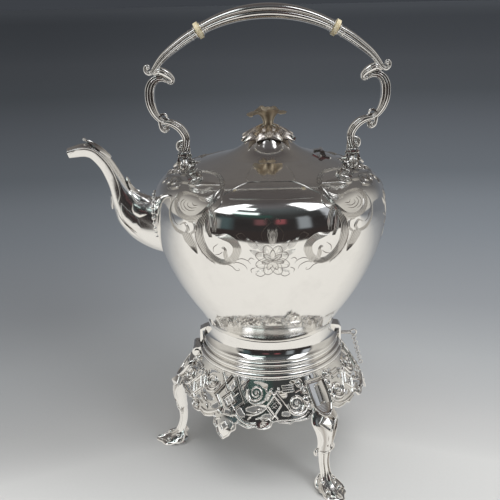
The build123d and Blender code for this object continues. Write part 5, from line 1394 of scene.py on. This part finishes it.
class FlatApron:
    """The apron's skin with places in the flat pattern."""

    def place(self, across, along, height=0.0, centre=0.0, side=1):
        return APRON.at(centre + side * np.asarray(across) / ACROSS, along, height)


FLAT_APRON = FlatApron()


def flat(points):
    """Places given as (degrees from the panel's middle, way down) in the flat pattern."""
    return np.array(points, float) * (ACROSS, 1)


# Lower edge and piercings of half a panel as (degrees from its middle, way down).
HALF_EDGE = [(60, 33), (55, 31.5), (51.5, 33.5), (49, 36.2), (45, 36.6), (40.5, 36.0), (38.4, 38.0),
             (35.5, 36.4),
             (30.6, 34.8), (28.2, 35.6), (26.4, 38.6), (23.4, 41.4), (20.4, 41.6), (18.4, 39.8), (14.5, 42.0),
             (11.0, 40.6), (8.0, 38.6), (6.6, 40.0), (6.8, 45.0), (4.2, 48.0), (3.2, 51.5), (0, 55.6)]
HALF_HOLES = [
    [(4.4, 3.6), (10.0, 3.6), (9.0, 7.6), (7.6, 13.0), (5.6, 9.4)],
    [(14.6, 2.8), (24.0, 3.4), (26.0, 7.0), (23.0, 9.8), (20.0, 4.6), (16.4, 5.0)],
    [(9.4, 13.2), (12.0, 9.0), (12.2, 14.0), (13.6, 18.6), (12.4, 21.0)],
    [(24.6, 12.4), (28.0, 10.6), (27.2, 15.6), (24.4, 19.4), (23.4, 16.4)],
    [(13.6, 24.4), (19.0, 22.6), (24.6, 21.4), (24.8, 25.2), (20.6, 29.8), (14.6, 29.0), (10.8, 27.8)],
    [(5.4, 26.4), (8.4, 25.6), (9.4, 29.0), (13.2, 32.6), (9.2, 34.4), (6.0, 31.6)],
    [(20.4, 32.4), (26.0, 27.8), (28.4, 31.6), (25.4, 34.6), (22.0, 34.8)],
    [(32.0, 10.6), (37.4, 11.6), (38.8, 14.0), (36.4, 17.6), (33.6, 14.6)],
    [(32.6, 29.8), (36.8, 26.6), (40.0, 30.8), (36.6, 32.4)],
    [(50.2, 10.8), (53.6, 9.6), (53.8, 14.4), (51.6, 17.6)],
    [(50.0, 26.2), (53.4, 22.8), (54.6, 28.0), (51.4, 30.4)],
    [(40.4, 3.0), (45.6, 2.8), (46.4, 5.6), (42.0, 6.0)],
]
CENTRE_HOLES = [
    [(0, 17.6), (3.0, 22.2), (0, 26.8), (-3.0, 22.2)],
    [(0, 6.0), (2.0, 10.4), (0, 14.4), (-2.0, 10.4)],
    [(-2.0, 30.0), (2.0, 30.0), (2.2, 34.6), (-2.2, 34.6)],
    [(0, 40.4), (2.4, 44.0), (0, 48.0), (-2.4, 44.0)],
]


def even(points, step):
    """Closed pattern with its spots at even steps."""
    return resampled(loop(points), step)[:-1]


def rounded(points):
    """Closed pattern with its corners eased."""
    points = np.asarray(points, float)
    cut = []
    for before, spot, after in zip(np.roll(points, 1, 0), points, np.roll(points, -1, 0)):
        cut += [spot + (before - spot) * 0.32, spot * 0.62 + (before + after) * 0.19,
                spot + (after - spot) * 0.32]
    return even(cut, 0.9)


# Relief of half a panel as (degrees from the panel's middle, way down). Straps run smoothly through their
# spots and bars run straight: spots, widths, section, rise.
STRAPS = [
    ([(0, 0.8), (20, 0.8), (40, 0.8), (59.5, 0.8)], [0.8, 0.8], DOME, 0.9),
    ([(10.4, 21.6), (4.4, 30.6), (5.6, 35.6)], [1.4, 1.3, 1.1], RAIL, 1.3),
    ([(12.6, 14.6), (13.6, 19.4), (18.6, 21.6), (23.2, 18.6), (25.4, 13.2), (27.4, 10.0), (29.0, 8.2)],
     [1.0, 1.3, 1.3, 1.2, 1.1, 1.2, 0.4], DOME, 1.7),
    ([(2.6, 35.0), (6.2, 33.2), (9.2, 35.8), (14.6, 38.6), (19.0, 37.4)], [0.8, 1.4, 1.6, 1.6, 1.0], DOME, 1.9),
    ([(7.6, 37.4), (12.4, 40.8), (17.2, 40.2)], [0.6, 0.9, 0.5], DOME, 1.2),
    ([(18.4, 34.2), (22.6, 32.4), (27.2, 34.6), (26.8, 39.4), (22.8, 41.6), (18.6, 40.2)],
     [0.6, 0.9, 0.9, 0.9, 0.8, 0.5], DOME, 1.4),
    ([(12.6, 31.2), (17.0, 30.8), (22.6, 27.0), (25.6, 22.8)], [0.5, 1.0, 1.0, 0.5], DOME, 1.4),
    ([(38.0, 22.0), (39.6, 28.4), (43.6, 31.6), (48.4, 30.0), (50.6, 26.4)], [1.1, 1.5, 1.6, 1.4, 0.6], DOME,
     2.1),
    ([(31.0, 34.4), (40.0, 35.0), (47.6, 33.4), (50.6, 30.8)], [0.7, 0.9, 0.9, 0.5], DOME, 1.4),
    ([(31.8, 36.4), (36.2, 37.2)], [0.5, 0.5], DOME, 1.0),
    ([(44.0, 13.2), (50.0, 10.4), (54.6, 6.4), (56.8, 2.0)], [0.7, 0.8, 0.8, 0.5], DOME, 1.4),
    ([(52.0, 20.0), (54.4, 13.6), (55.4, 8.0)], [0.6, 1.0, 0.6], DOME, 1.3),
    ([(3.2, 38.6), (5.6, 41.0), (4.6, 45.6)], [0.7, 0.8, 0.6], DOME, 1.2),
]
BARS = [
    ([(2.2, 1.4), (11.6, 22.2)], [1.6, 1.6], RAIL, 1.5),
    ([(11.2, 1.8), (2.4, 15.0)], [1.0, 1.0], RAIL, 1.2),
    ([(27.4, 10.4), (29.6, 14.0), (31.8, 10.4)], [0.8, 1.1, 0.8], DOME, 1.7),
    ([(27.8, 33.6), (29.6, 30.6), (31.4, 33.6)], [0.8, 1.0, 0.8], DOME, 1.6),
    ([(31.0, 12.0), (35.6, 20.4), (40.4, 30.0)], [0.6, 0.6], DOME, 1.1),
    ([(28.4, 31.2), (24.4, 24.4)], [0.5, 0.5], DOME, 1.0),
]
# Closed patterns.
LOZENGE = [(29.6, 14.6), (34.0, 22.6), (29.6, 30.8), (25.2, 22.6)]
LATTICE = [(0, 15.2), (5.0, 22.2), (0, 29.2), (-5.0, 22.2)]
# Leaflets: spot, angle, length, width, curl, rise.
LEAFLETS = [
    ((25.0, 12.0), -120, 5.0, 1.3, 0.3, 1.3), ((26.4, 11.4), -62, 5.0, 1.3, 0.3, 1.3),
    ((27.2, 12.6), -20, 5.0, 1.3, 0.3, 1.3),
    *[((22.0, 36.6), 96 - 34 * k, 4.8, 1.35, 0.0, 1.8) for k in range(5)],
    *[((16.6 + 2.0 * k, 31.4 - 1.9 * k), 150 + 14 * k, 6.2, 1.2, -0.3, 1.2) for k in range(4)],
    ((49.8, 16.6), -60, 6.0, 1.7, -0.3, 1.8),
]


def half_relief(shape, centre, side):
    """Raised straps, volutes and lozenges of half a panel."""
    def lay(points, widths, section, rise, smooth=True, sink=0.3, step=0.9):
        strap(shape, FLAT_APRON, points, widths, section, rise, sink, centre, side, step, smooth)

    def bead(spot, radius, rise, stretch=1.0, turn=0.0):
        boss(shape, FLAT_APRON, flat(spot), radius, rise, centre, side, stretch=stretch, turn=turn)

    lay(flat(HALF_EDGE), [0.8, 0.8], DOME, 1.0, False, 0.5)
    for kinds, smooth in ((STRAPS, True), (BARS, False)):
        for points, widths, section, rise in kinds:
            lay(flat(points), widths, section, rise, smooth)
    for spot, angle, length, width, curl, rise in LEAFLETS:
        leaflet(shape, FLAT_APRON, flat(spot), angle, length, width, centre, side, curl, rise)
    for spot, reach, start, turns, end, widths, rise in (
        ((17.4, 12.6), 7.4, 200, -2.1, 0.1, [1.2, 1.25, 1.1, 0.9, 0.7], 1.9),
        ((47.6, 6.0), 4.0, 90, -1.1, 0.8, [0.7, 0.6], 1.5),
        ((43.6, 22.4), 7.8, 150, -1.9, 0.12, [1.5, 1.6, 1.5, 1.2, 0.9], 2.2),
    ):
        lay(volute(flat(spot), reach, start, turns, end), widths, DOME, rise, step=0.7)
    bead((17.4, 12.6), 1.5, 2.3)
    bead((32.8, 9.6), 1.5, 1.8, 1.5, 90)
    bead((47.6, 6.0), 2.6, 1.6)
    bead((43.6, 22.4), 2.0, 2.6)
    bead((50.6, 20.6), 2.7, 2.4, 1.35, 70)
    lay(flat(loop(LOZENGE)), [0.9, 0.9], DOME, 1.9, False)
    for k in range(-2, 3):
        for way in (-1, 1):
            low = (29.6 + way * (2.9 - 0.75 * k), 22.6 + 1.5 * k - 0.4)
            high = (29.6 - way * 0.75 * k, 22.6 + 1.5 * k - 5.4 + 1.2 * abs(k))
            lay(flat([low, high]), [0.22, 0.22], DOME, 0.7, False)
    for low in (6.2, 10.0):
        lay(flat(loop([(35.2, low), (43.4, low), (43.4, low + 2.2), (35.2, low + 2.2)])), [0.5, 0.5], DOME, 1.0,
            False)
        lay(flat([(35.8, low + 1.1), (42.8, low + 1.1)]), [0.8, 0.8], FLAT, 0.8, False)
    for hole in HALF_HOLES:
        hoop(shape, FLAT_APRON, rounded(flat(hole)) * (side, 1), 0.42, 0.75, centre=centre)


def panel_relief(shape, centre):
    for side in (-1, 1):
        half_relief(shape, centre, side)
    for hole in CENTRE_HOLES:
        hoop(shape, FLAT_APRON, flat(hole), 0.8, 1.5, centre=centre)
    for way in (-1, 1):
        strap(shape, FLAT_APRON, flat([(-5.2 * way, 14.8), (5.2 * way, 29.6)]), [0.6, 0.6], DOME, 1.0, 0.3,
              centre, 1, 0.9, False)
    hoop(shape, FLAT_APRON, flat(LATTICE), 0.9, 1.5, RAIL, centre=centre)


def make_apron():
    plate = Shape()
    relief = Shape()
    for centre in PANEL_ANGLES:
        right = flat(HALF_EDGE)
        left = right[::-1][1:] * (-1, 1)
        top = [(x, 0.0) for x in np.linspace(-60, 60, 61) * ACROSS * 0.9995]
        outline = np.concatenate([top, resampled(np.concatenate([right, left]), 1.2)])
        holes = []
        for hole in HALF_HOLES:
            points = rounded(flat(hole))
            holes += [points, points * (-1, 1)]
        holes += [even(flat(hole), 0.9) for hole in CENTRE_HOLES]
        sheet(plate, lambda x, y, height: FLAT_APRON.place(x, y, height, centre), outline, holes, 0.0, -1.3,
              1.9)
        panel_relief(relief, centre)
    plate.join(relief)
    plate.piece("apron_pierced", "stand", "silver", SILVER, "apron")


# --- legs ----------------------------------------------------------------------------------------
LEG_R = 86.0                         # way out of the ankles
# Height, way out from the ankle, half depth, half width, ridge, flute.
LEG_SECTIONS = [
    (5.0, 5.6, 7.0, 6.6, 0.10, 0.20), (8.0, 4.2, 5.8, 5.8, 0.14, 0.24), (11.5, 2.6, 4.8, 5.2, 0.16, 0.26),
    (16, 0.8, 4.2, 4.9, 0.16, 0.28),
    (24, -1.2, 4.0, 4.8, 0.14, 0.26), (32, -1.4, 4.4, 5.3, 0.12, 0.22), (37.5, -0.8, 5.0, 6.4, 0.10, 0.12),
    (38.6, -0.7, 5.7, 7.4, 0.10, 0.08), (41, -0.4, 5.6, 7.0, 0.10, 0.12), (46, 0.2, 6.2, 7.2, 0.12, 0.18),
    (52, 0.7, 6.8, 8.4, 0.12, 0.20), (58, 0.6, 7.0, 10.2, 0.10, 0.18), (63, -0.2, 6.4, 12.0, 0.08, 0.14),
    (67, -1.2, 5.6, 13.2, 0.05, 0.10), (72, -3.4, 4.8, 12.0, 0.03, 0.06), (79, -8.0, 4.2, 8.6, 0.02, 0.04),
    (88, -14.4, 4.2, 7.6, 0.0, 0.02), (96, -20.2, 3.6, 7.4, 0.0, 0.0), (102.6, -23.0, 2.2, 7.2, 0.0, 0.0),
]


def from_ankle(points, side=1):
    return np.array(points, float) * (1, side, 1) + (LEG_R, 0, 0)


def leg_shape(notched):
    """Leg on the +X side: fluted shaft with a pyramid knee, a slotted shield above and a leafy foot."""
    shape = Shape()
    table = curve(LEG_SECTIONS, 0.9)
    if notched:
        table = table[table[:, 0] < 95.5]
    a = np.radians(np.linspace(0, 360, 72, endpoint=False))
    front = np.abs((a + np.pi) % (2 * np.pi) - np.pi)
    ridge = np.exp(-(front / 0.16) ** 2)
    flute = np.exp(-((front - 0.62) / 0.26) ** 2)
    edge = np.exp(-((front - 1.25) / 0.2) ** 2)
    rings = []
    for z, out, depth, width, up, down in table:
        r = 1 + up * ridge - down * flute + 0.05 * edge
        back = np.where(np.cos(a) < 0, 0.75, 1.0)
        rings.append(np.stack([LEG_R + out + depth * r * np.cos(a) * back, width * r * np.sin(a),
                               np.full(72, z)], -1))
    shape.tube(rings, 0.5 * flute)

    def front_at(z, across, lift=0.0):
        out, depth, width = (np.interp(z, table[:, 0], table[:, k]) for k in (1, 2, 3))
        share = np.clip(np.abs(across) / width, 0, 0.98)
        return np.stack(np.broadcast_arrays(LEG_R + out + depth * np.sqrt(1 - share ** 2) + lift, across, z),
                        -1)

    class FrontSkin:
        def place(self, across, along, height=0.0, centre=0.0, side=1):
            return front_at(np.asarray(along), side * np.asarray(across), height)

    class ShieldSkin:
        """Slightly crowned sloping face of the shield, or a level above it."""

        def __init__(self, lift):
            self.lift = lift

        def place(self, across, along, height=0.0, centre=0.0, side=1):
            out, depth = (np.interp(along, table[:, 0], table[:, k]) for k in (1, 2))
            reach = LEG_R + out + 0.97 * depth + height + self.lift - np.asarray(across) ** 2 / 130
            return np.stack(np.broadcast_arrays(reach, side * np.asarray(across), along), -1)

    skin, plate, face = FrontSkin(), ShieldSkin(0.0), ShieldSkin(1.7)
    for side in (-1, 1):
        for points, widths, section, rise in (
            ([(12.4, 66.5), (9.4, 61), (7.0, 54), (6.2, 47), (6.6, 41), (7.4, 38.4)],
             [0.9, 0.8, 0.7, 0.7, 0.6, 0.4], DOME, 0.9),
            ([(7.0, 38.8), (4.2, 36.4), (1.6, 37.2), (0, 39.6)], [1.0, 1.2, 1.0, 0.7], DOME, 1.2),
            ([(4.2, 36), (3.6, 28), (3.4, 20), (4.0, 13)], [0.7, 0.6, 0.6, 0.6], DOME, 0.7),
            ([(1.5, 60), (1.7, 54), (1.2, 47)], [0.2, 0.3, 0.15], ENGRAVED, 0.2),
        ):
            strap(shape, skin, points, widths, section, rise, 0.6, 0, side, 0.8)
        spine = [(-1.5, 6.6, 40), (-0.8, 8.8, 38.6), (-0.4, 9.6, 35.6), (0, 8.2, 33.8)]
        leaf(shape, from_ankle(spine, side), [0.6, 1.9, 1.7, 0.3], (0.9, side * 0.4, 0), 1.0, 0.1, 2, 0.2)
    notch = [(0, 42.6), (1.7, 45.0), (0, 47.6), (-1.7, 45.0)]
    strap(shape, skin, loop(notch), [0.45, 0.45], [(-1, 0, 1), (0, 1, .9), (1, 0, 1)], 0.5, 0.5, 0, 1, 0.8,
          False)
    boss(shape, skin, (0, 45.0), 1.3, 0.35, 0, 1, 0.5, tone=1.0, stretch=1.5, turn=90)
    # Pyramid on the knee.
    low, level, high, half, rise = 60.5, 67.5, 74.5, 7.2, 5.0
    corners = [(low, 0.0), (level, half), (high, 0.0), (level, -half)]
    base = [front_at(z, y, -0.3 if y == 0 else -0.4) for z, y in corners]
    inner = [front_at(z, y, -3.0) for z, y in corners]
    points = np.array([*base, *inner, front_at(level, 0.0, rise)])
    sides = [(k, (k + 1) % 4, 8) for k in range(4)]
    skirts = [(k, (k + 1) % 4, 4 + (k + 1) % 4, 4 + k) for k in range(4)]
    shape.add(points, [np.array(sides), np.array(skirts), np.array([(7, 6, 5, 4)])])
    border = [(0, low - 1.2), (half + 1.3, level), (0, high + 1.2), (-half - 1.3, level)]
    hoop(shape, skin, border, 0.55, 0.9, sink=0.5)
    # Shield over the joint of two apron panels.
    top = 91.0 if notched else 98.0
    outline = [(-8.4, top), (8.4, top), (9.2, 88.0), (8.6, 80.0), (6.4, 76.0), (3.2, 73.8), (0, 73.0),
               (-3.2, 73.8), (-6.4, 76.0), (-8.6, 80.0), (-9.2, 88.0)]
    slot = [(-2.3, 81.5), (2.3, 81.5), (2.3, top - 3.5), (-2.3, top - 3.5)]
    sheet(shape, plate.place, even(outline, 1.2), [even(slot, 0.9)], 1.7, -2.6, 1.5)
    sheet(shape, plate.place, even(slot, 0.9), [], 0.5, 0.2, 1.5, 0.4)
    hoop(shape, plate, outline, 0.9, 3.1, sink=0.4)
    hoop(shape, plate, slot, 0.6, 2.7, sink=0.4)
    inner = [(0.83 * y, z - 1.5 if z > 85 else z + 1.5 * (z < 77)) for y, z in outline]
    hoop(shape, face, inner, 0.4, 0.2, ENGRAVED, 0.1)
    for k in range(7):
        z = 74.6 + 0.95 * k
        wide = np.interp(z, [73, 74.5, 77, 80], [1.0, 3.8, 6.0, 7.4])
        strap(shape, face, [(-wide, z), (wide, z)], [0.26, 0.26], ENGRAVED, 0.2, 0.1, 0, 1, 0.9, False)
    for side in (-1, 1):
        for centre, radius, start, turns in (((12.6, 84.0), 3.6, 60, -1.6), ((12.0, 93.0), 2.8, -60, 1.5)):
            if notched and centre[1] > 90:
                continue
            scroll = volute(centre, radius, start, turns, 0.15, 0.7)
            strap(shape, WIDE_SKIN, scroll, [1.0, 1.0, 0.8, 0.6], DOME, 1.8, 0.6, 0, side, 0.7)
    foot(shape)
    return shape


class WideSkin:
    """The apron's slope seen from the leg: across, height above the floor."""

    def place(self, across, along, height=0.0, centre=0.0, side=1):
        slope = np.interp(along, [60, 75, 85, 95, 103], [88.0, 81.0, 75.5, 69.0, 65.0]) + 1.2
        across = np.asarray(across) * side
        angle = across / slope
        return np.stack([(slope + height) * np.cos(angle), (slope + height) * np.sin(angle),
                         np.broadcast_to(along, np.shape(angle))], -1)


WIDE_SKIN = WideSkin()


def foot(shape):
    """Leafy toe, two side curls and the flat sole."""
    turns = np.linspace(0, 2 * np.pi, 60, endpoint=False)
    wave = 1 + 0.10 * np.cos(5 * turns)
    length = 13.8 * wave * np.cos(turns) * np.where(np.cos(turns) < 0, 0.9, 1)
    width = 10.0 * wave * np.sin(turns)
    sole = ((0.0, 0.95), (0.5, 1.0), (1.6, 1.0), (2.3, 0.93), (2.6, 0.8))
    shape.tube([np.stack([LEG_R + 12.0 + grow * length, grow * width, np.full(60, z)], -1) for z, grow in sole])
    toe = from_ankle([(2.0, 0, 13.5), (6.5, 0, 9.4), (12.5, 0, 5.6), (19.5, 0, 3.4), (25.6, 0, 3.2)])
    leaf(shape, toe, [3.6, 5.6, 6.6, 5.6, 0.8], (0.45, 0, 0.9), 2.0, -0.2, 3, 0.22, vein=0.6, across_count=13)
    for side in (-1, 1):
        fore = from_ankle([(1.0, 3.0, 12.5), (5.0, 6.0, 8.4), (10.5, 8.8, 5.0), (16.0, 9.4, 3.0)], side)
        leaf(shape, fore, [2.4, 4.2, 4.2, 0.5], (0.3, side * 0.5, 0.8), 1.6, -0.15, 3, 0.25)
        aft = from_ankle([(-1.0, 3.4, 12.0), (-0.6, 6.6, 7.6), (1.4, 9.0, 4.0), (4.0, 9.6, 2.2)], side)
        leaf(shape, aft, [2.0, 3.6, 3.2, 0.4], (-0.2, side * 0.6, 0.7), 1.5, -0.1, 2, 0.25)
        ball(shape, (LEG_R + 5.2, side * 5.4, 8.2), 2.5, (1, 1, 0.9))
        ball(shape, (LEG_R + 13.6, side * 6.2, 5.2), 2.2, (1.2, 1, 0.8))


def make_legs():
    for name, node, angle in (("leg_left_ornate", "leg_left", 180),
                              ("leg_front_ornate", "leg_front_right", 300),
                              ("leg_rear_ornate", "leg_rear_right", 60)):
        leg_shape(angle == 180).moved(turned_by(angle)).piece(name, "stand", "silver", SILVER, node)


# --- everything ----------------------------------------------------------------------------------
def dress(material, *names):
    """Give nodes of the frame a material."""
    for name in names:
        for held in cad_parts[name].material_slots:
            held.material = material


set_camera()
set_world()
set_stage()
set_lights()
bpy.context.scene.view_settings.view_transform = "Standard"
SILVER_LIGHT = (0.93, 0.915, 0.89)
SILVER = polished("silver", SILVER_LIGHT, (0.17, 0.13, 0.10), 0.07, 0.0001, worn=(0.12, 0.05))
SPOUT_SILVER = polished("silver_spout", SILVER_LIGHT, (0.19, 0.15, 0.12), 0.17, 0.0001, worn=(0.12, 0.05))
PLAIN = polished("silver_plain", SILVER_LIGHT, (0.20, 0.16, 0.12), 0.06, 0.0002, worn=(0.10, 0.04))
CHASING = polished("silver_chased", (0.86, 0.84, 0.80), (0.13, 0.10, 0.085), 0.13, 0.0, worn=(0.10, 0.05))
GILT = polished("gilt", (0.94, 0.82, 0.63), (0.20, 0.14, 0.09), 0.26, 0.0, worn=(0.22, 0.08))
LEAF_GILT = polished("gilt_worn", (0.92, 0.86, 0.80), (0.22, 0.17, 0.14), 0.14, 0.0, worn=(0.2, 0.08))
BRASS = polished("brass", (0.74, 0.56, 0.28), (0.2, 0.14, 0.07), 0.2, 0.0, worn=(0.4, 0.1))
dress(PLAIN, *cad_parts)
dress(BRASS, "burner_collar", "wick_holder", "finial_stud")
dress(bone(), "insulator_left", "insulator_right")
dress(twisted_cotton(), "wick")
for make in (make_lid, make_foot_wall, make_chasing, make_spout, make_spout_trim, make_grip, make_arms,
             make_mounts, make_finial, make_apron, make_legs):
    make()
